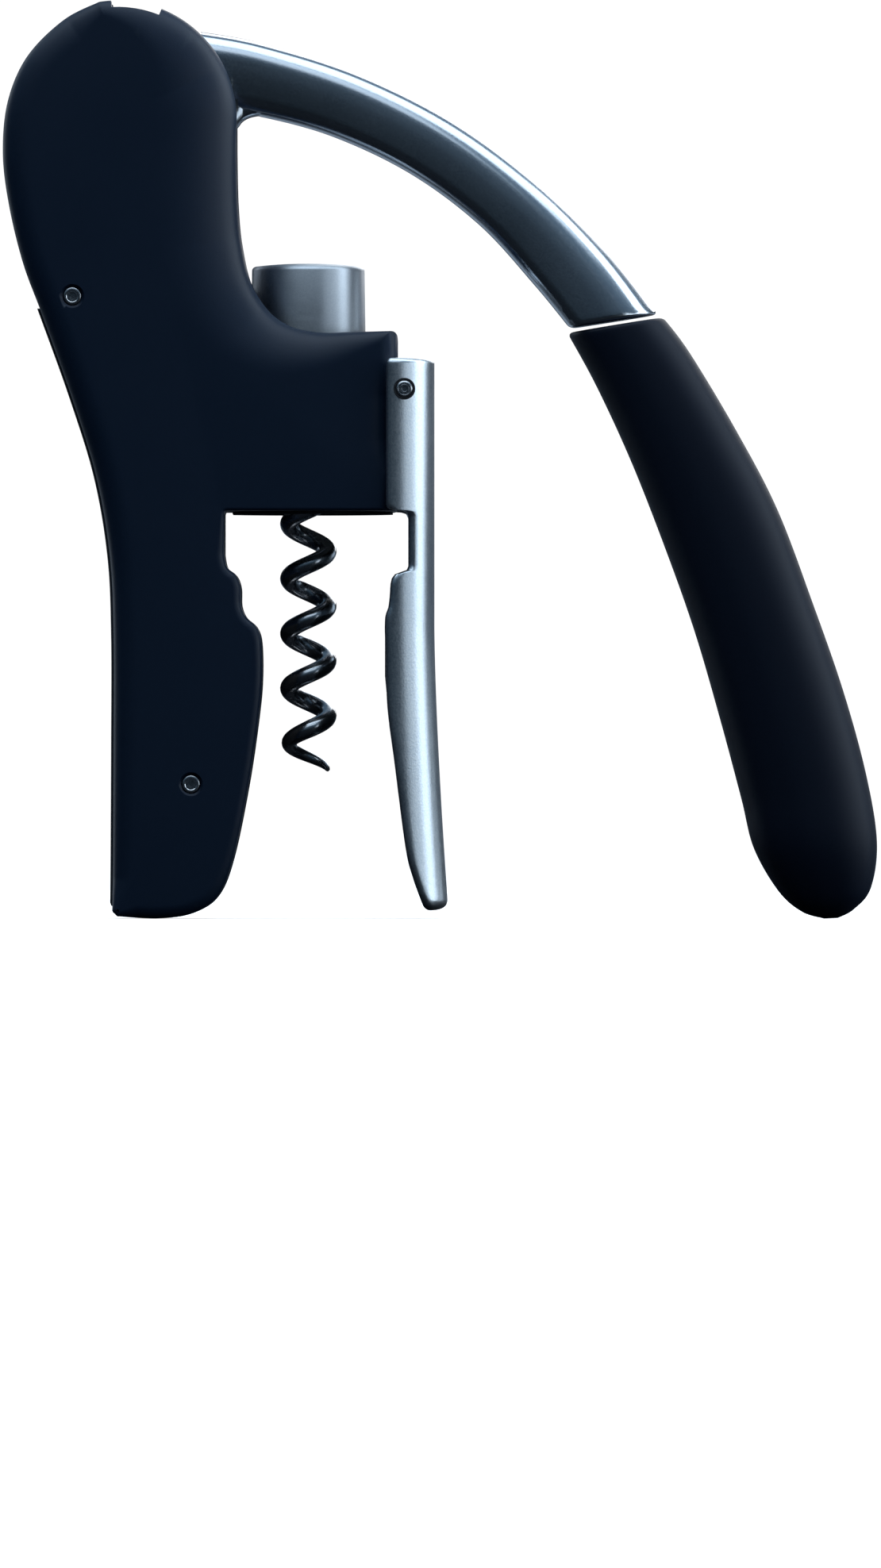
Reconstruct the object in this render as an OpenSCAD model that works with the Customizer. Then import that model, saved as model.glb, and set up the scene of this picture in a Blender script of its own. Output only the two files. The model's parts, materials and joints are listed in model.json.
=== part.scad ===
// Compact lever corkscrew: a lever with a sector gear lifts a rack, and the worm turns
// itself through a fixed helical nut. The origin is on the worm's axis, where the bottle lip seats.
// +X points from the worm to the clamp and the lever's grip, +Z points up.

/* [Housing] */
// Width across the two housing halves
body_w = 35; // [29:0.5:43]
// Radius of the round head about the lever pivot
head_r = 19.4; // [19:0.1:21]
// Distance of the lever pivot behind the worm's axis
pivot_back = 31; // [30.5:0.1:34]
// Height of the lever pivot above the bottle lip
pivot_up = 64.7; // [60:0.1:70]
// Height of the block's top above the bottle lip
block_h = 30; // [26:0.5:32]
// Reach of the block in front of the worm's axis
block_front = 14.8; // [14.6:0.1:16]
// Depth of the heel below the bottle lip
heel_depth = 66.3; // [55:0.1:80]
// Height of the block's underside above the bottle lip
block_lift = 0.4; // [0.2:0.1:1]
// Width of the lever's slot between the housing halves
slot_w = 12.6; // [12:0.1:15]

/* [Lever] */
// Distance from the pivot to the grip's outermost edge
lever_reach = 124.5; // [104:0.5:150]
// Distance from the pivot down to the grip's tip
lever_drop = 131.1; // [109:0.1:157]
// Width of the lever's fork in the slot
fork_w = 11.8; // [11:0.1:12]
// Thickness of the toothed parts between the fork's cheeks
gear_w = 5.6; // [4.6:0.1:5.8]
// Radius of the lever shaft
shaft_r = 3; // [2.4:0.1:3.6]
// Wall of the shaft's bushes
bush_wall = 1.6; // [1:0.1:2]
// Radius of the pins that hold the sector gear
gear_pin_r = 1.2; // [0.8:0.1:1.4]
// Thickness of the grip's soft skin
grip_skin = 2.2; // [1.6:0.1:3]
// Thickness of the tang inside the grip
tang_w = 5; // [4:0.5:6]

/* [Gear and rack] */
// Module of the teeth
tooth_module = 1; // [0.9:0.05:1]
// Teeth that a full gear would have
gear_teeth = 28; // [27:1:28]
// Full swing of the lever in degrees
lever_swing = 178; // [120:1:178]
// Length of plain rack below its teeth
rack_tail = 12; // [8:0.5:13]
// Backlash between the teeth
backlash = 0.24; // [0.16:0.01:0.3]

/* [Worm] */
// Radius of the worm's wire
wire_r = 1.45; // [1.2:0.05:1.75]
// Radius of the helix at the middle of the wire
helix_r = 3.2; // [2.8:0.1:4]
// Rise of the helix in one turn
worm_pitch = 9; // [8:0.5:11]
// Depth of the worm's tip below the bottle lip when driven in
worm_depth = 42; // [36:0.5:44]
// Radius of the worm's straight shank
shank_r = 2.5; // [2:0.1:3]

/* [Barrel and cap] */
// Radius of the cork's bore in the guide barrel
cork_r = 12.3; // [12:0.1:12.6]
// Wall of the guide barrel
barrel_wall = 1.6; // [1.2:0.1:1.7]
// Radius of the silver cap at its top
cap_r = 9.25; // [8.6:0.05:9.8]
// Height of the cap's top above the bottle lip when the lever is down
cap_top = 41.2; // [39:0.1:43]
// Inner radius of the ring that seats on the bottle
ring_r = 11.6; // [11:0.1:11.8]
// Thickness of the guide nut
nut_h = 5; // [4:0.5:6]

/* [Clamp] */
// Radius of the bottle neck that the pads hold
neck_r = 13; // [12.6:0.1:13.1]
// Radius of the clamp's pivot pin
clamp_pin_r = 1.4; // [1.1:0.05:1.5]
// Height of the clamp's pivot above the bottle lip
clamp_pin_up = 20.4; // [18:0.1:22]
// Distance of the clamp's pivot in front of the worm's axis
clamp_pin_front = 15.8; // [15.4:0.1:16]
// Thickness of the clamp's sheet
clamp_wall = 1.8; // [1.4:0.1:2]
// Gap between the clamp's cheeks and the block
clamp_gap = 0.3; // [0.2:0.05:0.5]

/* [Fasteners] */
// Radius of the housing screws' heads
screw_head_r = 1.45; // [1.4:0.05:1.7]
// Radius of the housing screws' shanks
screw_r = 0.9; // [0.7:0.05:0.95]
// Wall of the sleeve nuts on the far side
sleeve_wall = 0.3; // [0.2:0.05:0.35]

/* [Clearances] */
// Radial clearance of running fits
running = 0.05; // [0.03:0.01:0.1]
// Gap between pieces that slide past each other
slide_gap = 0.2; // [0.1:0.05:0.3]

/* [Hidden] */
$fn = 64;
eps = 0.01;

half_w = body_w / 2;
corner_r = 3;
slot_half = slot_w / 2;
hub_pocket_r = head_r - 1.1;
crown_r = head_r - 1.2;
bush_end = slot_half + 5;
fork_half = fork_w / 2;
gear_half = gear_w / 2;
pivot = [-pivot_back, pivot_up];

// Gear and rack: the rack stands between the gear and the cork's bore
pitch_r = gear_teeth * tooth_module / 2;
tip_r = pitch_r + tooth_module;
root_r = pitch_r - 1.25 * tooth_module;
pressure = 20;
base_r = pitch_r * cos(pressure);
travel = pitch_r * lever_swing * PI / 180;
pitch_x = pivot[0] + pitch_r;
rack_root_x = pitch_x + 1.25 * tooth_module;
rack_back_x = rack_root_x + 2.35;
mesh_margin = 4.6 * tooth_module;
rack_top = pivot_up + mesh_margin;
teeth_bottom = pivot_up - travel - mesh_margin;
rack_bottom = teeth_bottom - rack_tail;
wing_half = gear_half + 1.7;
wing_front_x = rack_back_x - 0.5;
wing_back_x = rack_root_x + 0.25;

// Rack guides: two strips beside the rack, below the lever's cheeks
guide_half = slot_half - running;
guide_inner = gear_half + slide_gap;
guide_back_x = pitch_x - tooth_module - slide_gap;
guide_front_x = rack_back_x + 0.8;
guide_top = pivot_up - 3.2;
guide_bottom = min(rack_bottom - 0.6, 1.2);

// Barrel, ring and nut
barrel_r = cork_r + barrel_wall;
ring_top = 2;
barrel_top = block_h - 0.8;
nut_bottom = ring_top + running;
nut_top = nut_bottom + nut_h;
nut_r = cork_r - 0.15;
clip_groove_h = 1.2;
clip_groove_depth = 0.6;
clip_groove_z = nut_top + 0.05;

// Worm: the helix ends in a cone below the straight shank
helix_steps = 20;
helix_top = nut_top + 5.5;
root_collar_r = helix_r + wire_r + 0.2;

// Carriage: an arm in front of the rack, a boss about the worm and a cap over the boss
arm_half = gear_half;
boss_bottom = block_h + 1;
boss_top = cap_top - 4.4;
boss_r = cap_r - 1.05;
pad_front_x = rack_back_x + 1.7;
carriage_pad_top = boss_top + 9.5;
washer_h = 0.5;
collar_h = 1;
clip_h = 0.8;
cap_skirt = block_h - 4;
cap_draft = 0.2;
collar_top = boss_bottom - washer_h;
rack_screw_r = 0.9;
rack_screws_z = [boss_top + 3, boss_top + 7.2];

// Neck seat
lip_clear = neck_r + 2.3;
seat_r = neck_r + 2;
pad_top = -18.6;
pad_bottom = 0.92 * -heel_depth;
front_pad_x = neck_r - 0.4;

// Clamp
clamp_inner_half = half_w + clamp_gap;
clamp_outer_half = clamp_inner_half + clamp_wall;
clamp_front = clamp_pin_front + 4.9;
clamp_top = clamp_pin_up + 5.1;
clamp_bottom = -heel_depth + 1.4;
clamp_pin = [clamp_pin_front, clamp_pin_up];
clamp_bush_wall = 0.35;
lug_r = 2.4;
lug_half = half_w - 4.5;
rivet_r = 1;
pad_rivets_z = [-24, -40];
pad_half = neck_r - 1;
clamp_rows = 14;
clamp_levels = [for (i = [0 : clamp_rows])
    clamp_bottom + (clamp_top - clamp_bottom) * i / clamp_rows];

// Strip down the housing's back
spine_proud = 0.5;
spine_depth = 3;
spine_top = 0.522 * pivot_up;

// Housing screws: one behind the head, one in the heel
shell_screws_at = [[-38.5, 0.55 * pivot_up], [-19.1, -0.667 * heel_depth]];
head_depth = 1.6;
head_sunk = 0.3;
head_gap = 0.15;
key_r = 0.75;
key_depth = 0.8;
sleeve_l = 9;

// Lever outline: pairs of edge points from the pivot, upper or outer edge first, with half widths
reach_k = lever_reach / 124.5;
drop_k = lever_drop / 131.1;
arm_stations = [
    [13, 14.7, 15.6, 1.2, fork_half],
    [23.4, 12.8, 21.6, 0.9, fork_half],
    [39, 8, 34.3, -2.4, fork_half + 0.5],
    [54.7, 0.4, 47.5, -8.6, fork_half + 1],
    [68.5, -9.5, 59, -17.1, fork_half + 1.4],
    [80, -20.8, 68, -26.9, fork_half + 1.7],
    [88.5, -31.8, 73.9, -34.1, fork_half + 2]];
grip_stations = [
    [89.3, -32.3, 73.5, -34.9, fork_half + 2.3],
    [93.6, -38, 78.3, -43.7, fork_half + 2.6],
    [101.1, -50.5, 84, -56.1, fork_half + 3],
    [108, -63.7, 89.6, -70.4, fork_half + 3.3],
    [113.9, -79.3, 94.4, -84, fork_half + 3.6],
    [118.9, -93.7, 98.5, -98.1, fork_half + 3.7],
    [122.6, -107.2, 102, -111.2, fork_half + 3.7],
    [124.4, -118.3, 104.1, -119.5, fork_half + 3.4],
    [123.4, -126, 108.2, -126.6, fork_half + 1.4],
    [120.6, -129.5, 112, -129.9, fork_half - 0.8],
    [118, -130.9, 115.6, -131, 1.5]];

// Grip: core, tang and cross pins
core_last = 8;
tang_last = 6;
tang_half_h = 3.2;
grip_pin_r = 1.25;
grip_pin_half = 4.6;
core_stations = [for (i = [0 : core_last]) grip_stations[i]];
grip_pins_at = [mid_of(grip_stations[2]), mid_of(grip_stations[4])];

// Fork and gear pins
hub_r = 12;
cheek_r = head_r - 1.4;
gear_pin_ring = 8.6;
gear_pin_angles = [40, 160, 280];

// Arm's top edge, turned to the end of the swing, and the gap left to its rubber stop
stop_gap = 0.3;
stop_line = [for (i = [0, 1]) let (x = reach_k * arm_stations[i][0], z = drop_k * arm_stations[i][1],
    c = cos(lever_swing), n = sin(lever_swing)) [c * x - n * z, n * x + c * z]];

// ---------- curves and lofts ----------

// One point of a Catmull-Rom curve between b and c
function curve_point(a, b, c, d, t) =
    0.5 * (2 * b + (c - a) * t + (2 * a - 5 * b + 4 * c - d) * t * t
    + (3 * b - a - 3 * c + d) * t * t * t);

// A smooth curve through key points, with steps per stretch
function smooth(keys, steps) = [
    for (i = [0 : len(keys) - 2])
        let (a = keys[max(i - 1, 0)], b = keys[i], c = keys[i + 1],
            d = keys[min(i + 2, len(keys) - 1)])
        for (k = [0 : steps - 1]) curve_point(a, b, c, d, k / steps),
    keys[len(keys) - 1]];

// Side faces of a loft through rings of n points
function loft_sides(rings, n) = [for (i = [0 : rings - 2]) for (j = [0 : n - 1])
    let (a = i * n + j, b = i * n + (j + 1) % n) each [[a, a + n, b + n], [a, b + n, b]]];

// End caps, as rungs between the first half of a ring and its second half
function loft_caps(rings, n) = [for (j = [0 : n / 2 - 2])
    let (last = (rings - 1) * n)
    each [[j, j + 1, n - 2 - j, n - 1 - j],
        [last + n - 1 - j, last + n - 2 - j, last + j + 1, last + j]]];

module loft(rings) {
    count = len(rings);
    n = len(rings[0]);
    polyhedron([for (ring = rings) each ring],
        concat(loft_sides(count, n), loft_caps(count, n)), convexity = 10);
}

// A plate that stands in the XZ plane, from y0 to y1
module plate(y0, y1) {
    rotate([90, 0, 0]) translate([0, 0, -y1]) linear_extrude(y1 - y0) children();
}

// A pair of plates, mirrored about the middle plane
module plates(y0, y1) {
    plate(y0, y1) children();
    plate(-y1, -y0) children();
}

// A piece and its mirror image across the middle plane
module both_sides() {
    children();
    mirror([0, 1, 0]) children();
}

// A cylinder across the tool at a point of the XZ plane, from y0 to y1
module cross_pin(at, r, y0, y1) {
    translate([at[0], y1, at[1]]) rotate([90, 0, 0]) cylinder(h = y1 - y0, r = r);
}

// A ring sector in the XZ plane, about the pivot
module sector(r, from, to) {
    steps = ceil((to - from) / 30);
    far = 2 * r;
    intersection() {
        circle(r);
        polygon(concat([[0, 0]], [for (i = [0 : steps])
            let (a = from + (to - from) * i / steps) far * [cos(a), sin(a)]]));
    }
}

// ---------- housing ----------

// Key points of the outline, from the heel up the front and down the back
function heel_keys() = [
    [-31.2, -heel_depth + 0.35], [-24.4, -heel_depth], [-18.6, -heel_depth + 0.9],
    [-14.6, -heel_depth + 3.7], [-12.1, -0.85 * heel_depth], [-9.6, -0.668 * heel_depth],
    [-8, -0.505 * heel_depth], [-7.4, -27], [-7.5, -21], [-8.3, -18.4], [-10, -16.8],
    [-10.8, -14.9], [-10.9, -12], [-11.6, -10], [-13.1, -8.7], [-13.6, -6.6]];
function shoulder_keys() = [
    [7, block_h - 0.15], [1, block_h - 0.1], [-4.9, block_h + 2], [-8.9, block_h + 7.2],
    [-10.7, block_h + 14], [pivot[0] + head_r + 0.2, block_h + 21],
    [pivot[0] + head_r, pivot_up - 5]];
function back_keys() = [
    [pivot[0] - 3.1, pivot_up + head_r - 0.25], [-40, pivot_up + 16.2],
    [-46, pivot_up + 10.2], [-49.2, pivot_up + 2.8], [-50, pivot_up - 5.7],
    [-49, pivot_up - 14.2], [-46.7, pivot_up - 23.7], [-43.5, 0.5 * pivot_up],
    [-38.7, 19], [-34.7, 6], [-32.5, -7], [-31.9, -20],
    [-31.9, -38], [-32, -heel_depth + 8], [-32.1, -heel_depth + 1.2]];

// Round head from the front edge over the crown
function head_arc(steps) = [for (i = [1 : steps])
    let (a = 96 * i / steps) [pivot[0] + head_r * cos(a), pivot_up + head_r * sin(a)]];

module shell_outline() {
    polygon(concat(
        smooth(heel_keys(), 3),
        [[-13.6, block_lift], [block_front, block_lift], [block_front, block_h - 0.7],
         [block_front - 0.2, block_h - 0.2], [block_front - 0.7, block_h]],
        smooth(shoulder_keys(), 4),
        head_arc(16),
        smooth(back_keys(), 4)));
}

// Plan of the housing, with rounded corners in front
module shell_plan() {
    translate([pivot[0] - 2 * head_r, -half_w])
        square([block_front - corner_r - pivot[0] + 2 * head_r, body_w]);
    translate([0, -half_w + corner_r]) square([block_front, body_w - 2 * corner_r]);
    for (side = [-1, 1]) translate([block_front - corner_r, side * (half_w - corner_r)])
        circle(corner_r);
}

// Hollows that both halves share
module shell_hollows() {
    // slot for the fork: a round pocket about the pivot, open over the top
    plate(-slot_half, slot_half) {
        translate(pivot) circle(hub_pocket_r);
        translate([pivot[0], guide_top]) square([2 * head_r, 2 * head_r]);
        translate(pivot) polygon([[0, 0], stop_line[0] - [0, stop_gap + 0.2],
            stop_line[1] - [0, stop_gap + 0.2], [-2 * head_r, stop_line[1][1] - stop_gap - 0.2],
            [-2 * head_r, 2 * head_r], [0, 2 * head_r]]);
        stop_outline();
    }
    // channel for the rack and its guides, open to the front above the block
    plate(-slot_half, slot_half) {
        translate([guide_back_x - running, guide_bottom - running])
            square([guide_front_x + 2 * running - guide_back_x, guide_top + 8 - guide_bottom]);
        translate([guide_front_x - 1, block_h + 14]) square([20, guide_top - block_h]);
    }
    // cork's way above the barrel, and the way for the carriage's arm
    translate([0, 0, barrel_top]) cylinder(h = pivot_up, r = cork_r + 0.1);
    plate(-arm_half - slide_gap, arm_half + slide_gap)
        translate([guide_front_x - 1, barrel_top]) square([12, pivot_up]);
    // barrel's pocket
    translate([0, 0, -1]) cylinder(h = block_h + 2, r = barrel_r + running);
    // bottle lip and neck
    translate([0, 0, -17.5]) cylinder(h = 17.6, r = lip_clear);
    translate([0, 0, -heel_depth - 2]) cylinder(h = heel_depth - 15, r = seat_r);
    // strip down the back
    plate(-slot_half, slot_half) spine_outline(running);
    // blind pockets for the shaft's bushes
    cross_pin(pivot, shaft_r + bush_wall, -bush_end, bush_end);
    // crown recess above the fork
    plate(-half_w - 1, half_w + 1) translate(pivot) difference() {
        sector(head_r + 3, 68.5, 93.5);
        circle(crown_r);
    }
}
// One half, with holes of the given radius for its screws
module half_shell(hole_r) {
    difference() {
        union() {
            intersection() {
                plate(-half_w, 0) shell_outline();
                translate([0, 0, -2 * heel_depth]) linear_extrude(4 * heel_depth) shell_plan();
            }
            plate(-lug_half, 0) hinge_lug();
        }
        shell_hollows();
        for (at = shell_screws_at) {
            cross_pin(at, hole_r, -half_w - 1, 0);
            cross_pin(at, screw_head_r + head_gap, -half_w - 1, -half_w + head_depth);
            cross_pin(at, screw_head_r + 0.5, -half_w - 1, -half_w + head_sunk);
        }
        cross_pin(clamp_pin, clamp_pin_r, -half_w - 1, 0);
    }
}

// Lug that carries the clamp's pin in front of the block
module hinge_lug() {
    translate(clamp_pin) circle(lug_r);
    translate([block_front - 3, clamp_pin_up - lug_r])
        square([clamp_pin_front - block_front + 3, 2 * lug_r]);
}

module near_shell() {
    color("#1b2230") half_shell(screw_r + running);
}

module far_shell() {
    color("#1b2230") mirror([0, 1, 0]) half_shell(screw_r + sleeve_wall + running);
}

// ---------- other fixed pieces ----------

// Back strip's outline: the housing's back edge, set out and in
module spine_outline(grow) {
    back = [for (p = smooth(back_keys(), 2)) if (p[1] < spine_top && p[1] > -heel_depth + 2) p];
    top = [back[0][0] - (spine_top - back[0][1]) * 0.34, spine_top];
    edge = concat([top], [for (p = back) [p[0], p[1]]]);
    last = len(edge) - 1;
    polygon(concat([for (p = edge) [p[0] - spine_proud, p[1]]],
        [for (i = [0 : last]) [edge[last - i][0] + spine_depth + grow, edge[last - i][1]]]));
}

module back_spine() {
    color("#262d3a") plate(-slot_half + running, slot_half - running) spine_outline(0);
}

module guide_barrel() {
    color("#2c3038") difference() {
        translate([0, 0, ring_top]) cylinder(h = barrel_top - ring_top, r = barrel_r);
        translate([0, 0, -1]) cylinder(h = block_h + 2, r = cork_r);
        plate(-guide_half - running, guide_half + running)
            translate([-barrel_r - 1, -1]) square([barrel_r + 1, block_h + 2]);
        translate([0, 0, clip_groove_z]) cylinder(h = clip_groove_h, r = cork_r + clip_groove_depth);
    }
}

module neck_ring() {
    color("#15181e") difference() {
        cylinder(h = ring_top, r = barrel_r);
        translate([0, 0, -1]) cylinder(h = ring_top + 2, r = ring_r);
        plate(-guide_half - running, guide_half + running)
            translate([-barrel_r - 1, -1]) square([barrel_r - 11, ring_top + 2]);
    }
}

// Spring ring that holds the nut down until the cork is pulled
module nut_clip() {
    clip_wire_r = 0.5;
    gap_half = guide_half + 1.2;
    color("#c9ccd1") difference() {
        translate([0, 0, clip_groove_z + clip_groove_h / 2]) rotate_extrude()
            translate([cork_r + 0.05, 0]) circle(clip_wire_r, $fn = 24);
        plate(-gap_half, gap_half) translate([-barrel_r - 1, 0]) square([barrel_r, block_h]);
    }
}

// Soft lining of the neck's seat, kept just behind the housing's front edge
module rear_neck_pad() {
    pad_reach = 52;
    color("#101317") difference() {
        intersection() {
            translate([0, 0, pad_bottom]) cylinder(h = pad_top - pad_bottom, r = seat_r);
            plate(-half_w, half_w) translate([-0.3, 0]) shell_outline();
        }
        translate([0, 0, pad_bottom - 1]) cylinder(h = pad_top - pad_bottom + 2, r = neck_r);
        translate([-neck_r * cos(pad_reach), -seat_r - 1, pad_bottom - 1])
            cube([3 * seat_r, 2 * seat_r + 2, pad_top - pad_bottom + 2]);
    }
}

// Two strips, each with a channel for one wing of the rack
module rack_guides() {
    color("#3a4049") both_sides() difference() {
        translate([guide_back_x, guide_inner, guide_bottom])
            cube([guide_front_x - guide_back_x, guide_half - guide_inner, guide_top - guide_bottom]);
        translate([wing_back_x - slide_gap, 0, guide_bottom - 1])
            cube([wing_front_x - wing_back_x + 2 * slide_gap, wing_half + slide_gap,
                guide_top - guide_bottom + 2]);
    }
}

module shaft_bushes() {
    color("#b58a4a") both_sides() difference() {
        cross_pin(pivot, shaft_r + bush_wall, slot_half, bush_end);
        cross_pin(pivot, shaft_r + running, slot_half - 1, bush_end - 0.8);
    }
}

// Outline of the rubber block that the arm meets at the end of its swing
module stop_outline() {
    run = stop_line[1] - stop_line[0];
    translate(pivot + stop_line[0] + 0.28 * run) rotate(atan2(-run[1], -run[0]))
        translate([-1.5, -3.3]) square([3, 3.3 - stop_gap]);
}

module lever_stop() {
    color("#1d1f22") plate(-slot_half, slot_half) intersection() {
        stop_outline();
        translate([0.3, 0]) shell_outline();
    }
}

module shell_screws() {
    color("#b9bcc0") for (at = shell_screws_at) difference() {
        union() {
            cross_pin(at, screw_head_r, -half_w + head_sunk, -half_w + head_depth);
            cross_pin(at, screw_r, -half_w + head_sunk, half_w - 3);
        }
        translate([at[0], -half_w + head_sunk + key_depth, at[1]]) rotate([90, 0, 0])
            cylinder(h = 2, r = key_r, $fn = 6);
    }
}

module shell_nuts() {
    color("#b9bcc0") for (at = shell_screws_at) difference() {
        union() {
            cross_pin(at, screw_head_r, half_w - head_depth, half_w - head_sunk);
            cross_pin(at, screw_r + sleeve_wall, half_w - sleeve_l, half_w - head_depth);
        }
        cross_pin(at, screw_r, half_w - sleeve_l - 1, half_w - 3);
        translate([at[0], half_w + 1, at[1]]) rotate([90, 0, 0])
            cylinder(h = 1 + head_sunk + key_depth, r = key_r, $fn = 6);
    }
}

// ---------- worm and nut ----------

// Ring of a wire about the helix at height z
function wire_ring(z, r, sides) =
    let (turn = 360 * (z + worm_depth) / worm_pitch, q = worm_pitch / (2 * PI),
        l = norm([helix_r, q]), mid = [helix_r * cos(turn), helix_r * sin(turn), z],
        out = [cos(turn), sin(turn), 0], lift = [q * sin(turn), -q * cos(turn), helix_r] / l)
    [for (j = [0 : sides - 1]) let (a = 360 * j / sides) mid + r * (cos(a) * lift + sin(a) * out)];

// Wire radius along the worm: a ground point at the tip
function tapered_r(z) = wire_r * min(1, 0.15 + sqrt(max(0, (z + worm_depth) / 9)));

module helix(z0, z1, grow, tapered, sides) {
    count = ceil((z1 - z0) / worm_pitch * helix_steps);
    step = (z1 - z0) / count;
    loft([for (i = [0 : count]) let (z = z0 + i * step)
        wire_ring(z, (tapered ? tapered_r(z) : wire_r) + grow, sides)]);
}

module worm() {
    top = boss_top + washer_h + clip_h + 1;
    color("#b4b8be") {
        helix(-worm_depth, helix_top, 0, true, 8);
        difference() {
            union() {
                translate([0, 0, helix_top - 2.2]) cylinder(h = 1.8, r = root_collar_r);
                translate([0, 0, helix_top - 0.4]) cylinder(h = 2.2, r1 = root_collar_r, r2 = shank_r);
                translate([0, 0, helix_top + 1]) cylinder(h = top - helix_top - 1, r = shank_r);
                translate([0, 0, collar_top - collar_h]) cylinder(h = collar_h, r = shank_r + 1.6);
            }
            translate([0, 0, boss_top + washer_h]) difference() {
                cylinder(h = clip_h, r = shank_r + 1);
                translate([0, 0, -1]) cylinder(h = clip_h + 2, r = shank_r - 0.5);
            }
        }
    }
}

module guide_nut() {
    color("#d8d6cf") difference() {
        translate([0, 0, nut_bottom]) cylinder(h = nut_h, r = nut_r);
        helix(nut_bottom - 4, nut_top + 4, 0.35, false, 8);
        plate(-guide_half - running, guide_half + running)
            translate([-barrel_r - 1, 0]) square([barrel_r + 1 + guide_front_x + 1.2, block_h]);
        rotate_extrude() translate([nut_r + 0.2, nut_bottom + nut_h]) circle(0.7, $fn = 24);
    }
}

// ---------- lever ----------

// Rounded section of the lever between two edge points
function lever_ring(s, sides) =
    let (top = [pivot[0] + reach_k * s[0], 0, pivot_up + drop_k * s[1]],
        low = [pivot[0] + reach_k * s[2], 0, pivot_up + drop_k * s[3]],
        mid = (top + low) / 2, rise = (top - low) / 2)
    [for (j = [0 : sides - 1]) let (a = 360 * j / sides, c = cos(a), n = sin(a))
        mid + [0, s[4] * sign(c) * pow(abs(c), 0.72), 0] + rise * sign(n) * pow(abs(n), 0.8)];

function drawn_in(s, d) =
    let (l = norm([reach_k * (s[0] - s[2]), drop_k * (s[1] - s[3])]), k = min(d / l, 0.45))
    [s[0] + (s[2] - s[0]) * k, s[1] + (s[3] - s[1]) * k,
     s[2] + (s[0] - s[2]) * k, s[3] + (s[1] - s[3]) * k, max(s[4] - d, 0.4)];

module lever_loft(stations, steps, d) {
    loft([for (s = smooth(stations, steps)) lever_ring(drawn_in(s, d), 20)]);
}

function mid_of(s) = [pivot[0] + reach_k * (s[0] + s[2]) / 2, pivot_up + drop_k * (s[1] + s[3]) / 2];
function along(a, b) = (b - a) / norm(b - a);

// Tang: a flat bar from inside the arm down the middle of the grip
module tang() {
    mids = [for (s = smooth([for (i = [0 : tang_last]) grip_stations[i]], 2)) mid_of(s)];
    n = len(mids) - 1;
    sides = [for (i = [0 : n]) let (t = along(mids[max(i - 1, 0)], mids[min(i + 1, n)]))
        tang_half_h * [-t[1], t[0]]];
    start = [pivot[0] + reach_k * 78, pivot_up - drop_k * 30];
    plate(-tang_w / 2, tang_w / 2) polygon(concat(
        [start + sides[0]], [for (i = [1 : n]) mids[i] + sides[i]],
        [for (i = [0 : n - 1]) mids[n - i] - sides[n - i]], [start - sides[0]]));
}

// Fork cheek: a round boss, a wider sector that carries the arm, and a web under the arm's root
module cheek_outline() {
    circle(hub_r);
    sector(cheek_r, -5, 125);
    polygon([[13, 1], [cheek_r, -0.5], [21.6, 0.9], [22, 6], [14, 10]]);
}

module lever_arm() {
    color("#c8ccd2") difference() {
        union() {
            lever_loft(arm_stations, 3, 0);
            plates(gear_half + slide_gap, fork_half) translate(pivot) cheek_outline();
            tang();
        }
        // space for the gear and the top of the rack
        plate(-gear_half - slide_gap, gear_half + slide_gap) translate(pivot) {
            circle(head_r + 0.4);
            sector(24, -30, 18);
        }
        cross_pin(pivot, shaft_r, -slot_half, slot_half);
        for (a = gear_pin_angles)
            cross_pin(pivot + gear_pin_ring * [cos(a), sin(a)], gear_pin_r, -slot_half, slot_half);
        for (at = grip_pins_at) cross_pin(at, grip_pin_r, -tang_w, tang_w);
    }
}

// Half angle of an involute gear tooth at radius r
function inv_angle(r) = let (t = acos(min(1, base_r / r))) tan(t) * 180 / PI - t;
function half_tooth(r) =
    (90 / gear_teeth - backlash / 4 / pitch_r * 180 / PI) + inv_angle(pitch_r) - inv_angle(max(r, base_r));

module sector_gear() {
    first = -ceil((lever_swing + 18) * gear_teeth / 360);
    last = 1;
    radii = [root_r, base_r + 0.05, (base_r + pitch_r) / 2, pitch_r, (pitch_r + tip_r) / 2, tip_r];
    color("#8f949b") difference() {
        plate(-gear_half, gear_half) translate(pivot) {
            circle(root_r);
            for (k = [first : last]) rotate(360 / gear_teeth * k) polygon(concat(
                [[root_r - 1, -2 * root_r * sin(1.8)]],
                [for (r = radii) r * [cos(half_tooth(r)), -sin(half_tooth(r))]],
                [for (i = [0 : 5]) let (r = radii[5 - i]) r * [cos(half_tooth(r)), sin(half_tooth(r))]],
                [[root_r - 1, 2 * root_r * sin(1.8)]]));
        }
        cross_pin(pivot, shaft_r, -slot_half, slot_half);
        for (a = gear_pin_angles)
            cross_pin(pivot + gear_pin_ring * [cos(a), sin(a)], gear_pin_r, -slot_half, slot_half);
    }
}

module gear_pins() {
    color("#6d7178") for (a = gear_pin_angles)
        cross_pin(pivot + gear_pin_ring * [cos(a), sin(a)], gear_pin_r, -fork_half, fork_half);
}

module lever_shaft() {
    color("#9a9ea4") cross_pin(pivot, shaft_r, -bush_end + 1.2, bush_end - 1.2);
}

module grip_core() {
    color("#30343a") difference() {
        lever_loft(core_stations, 2, grip_skin);
        tang();
        for (at = grip_pins_at) cross_pin(at, grip_pin_r, -half_w, half_w);
    }
}

module lever_grip() {
    color("#171a20") difference() {
        lever_loft(grip_stations, 2, 0);
        lever_loft(core_stations, 2, grip_skin);
    }
}

module grip_pins() {
    color("#8d9197") for (at = grip_pins_at) cross_pin(at, grip_pin_r, -grip_pin_half, grip_pin_half);
}

// ---------- carriage ----------

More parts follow.
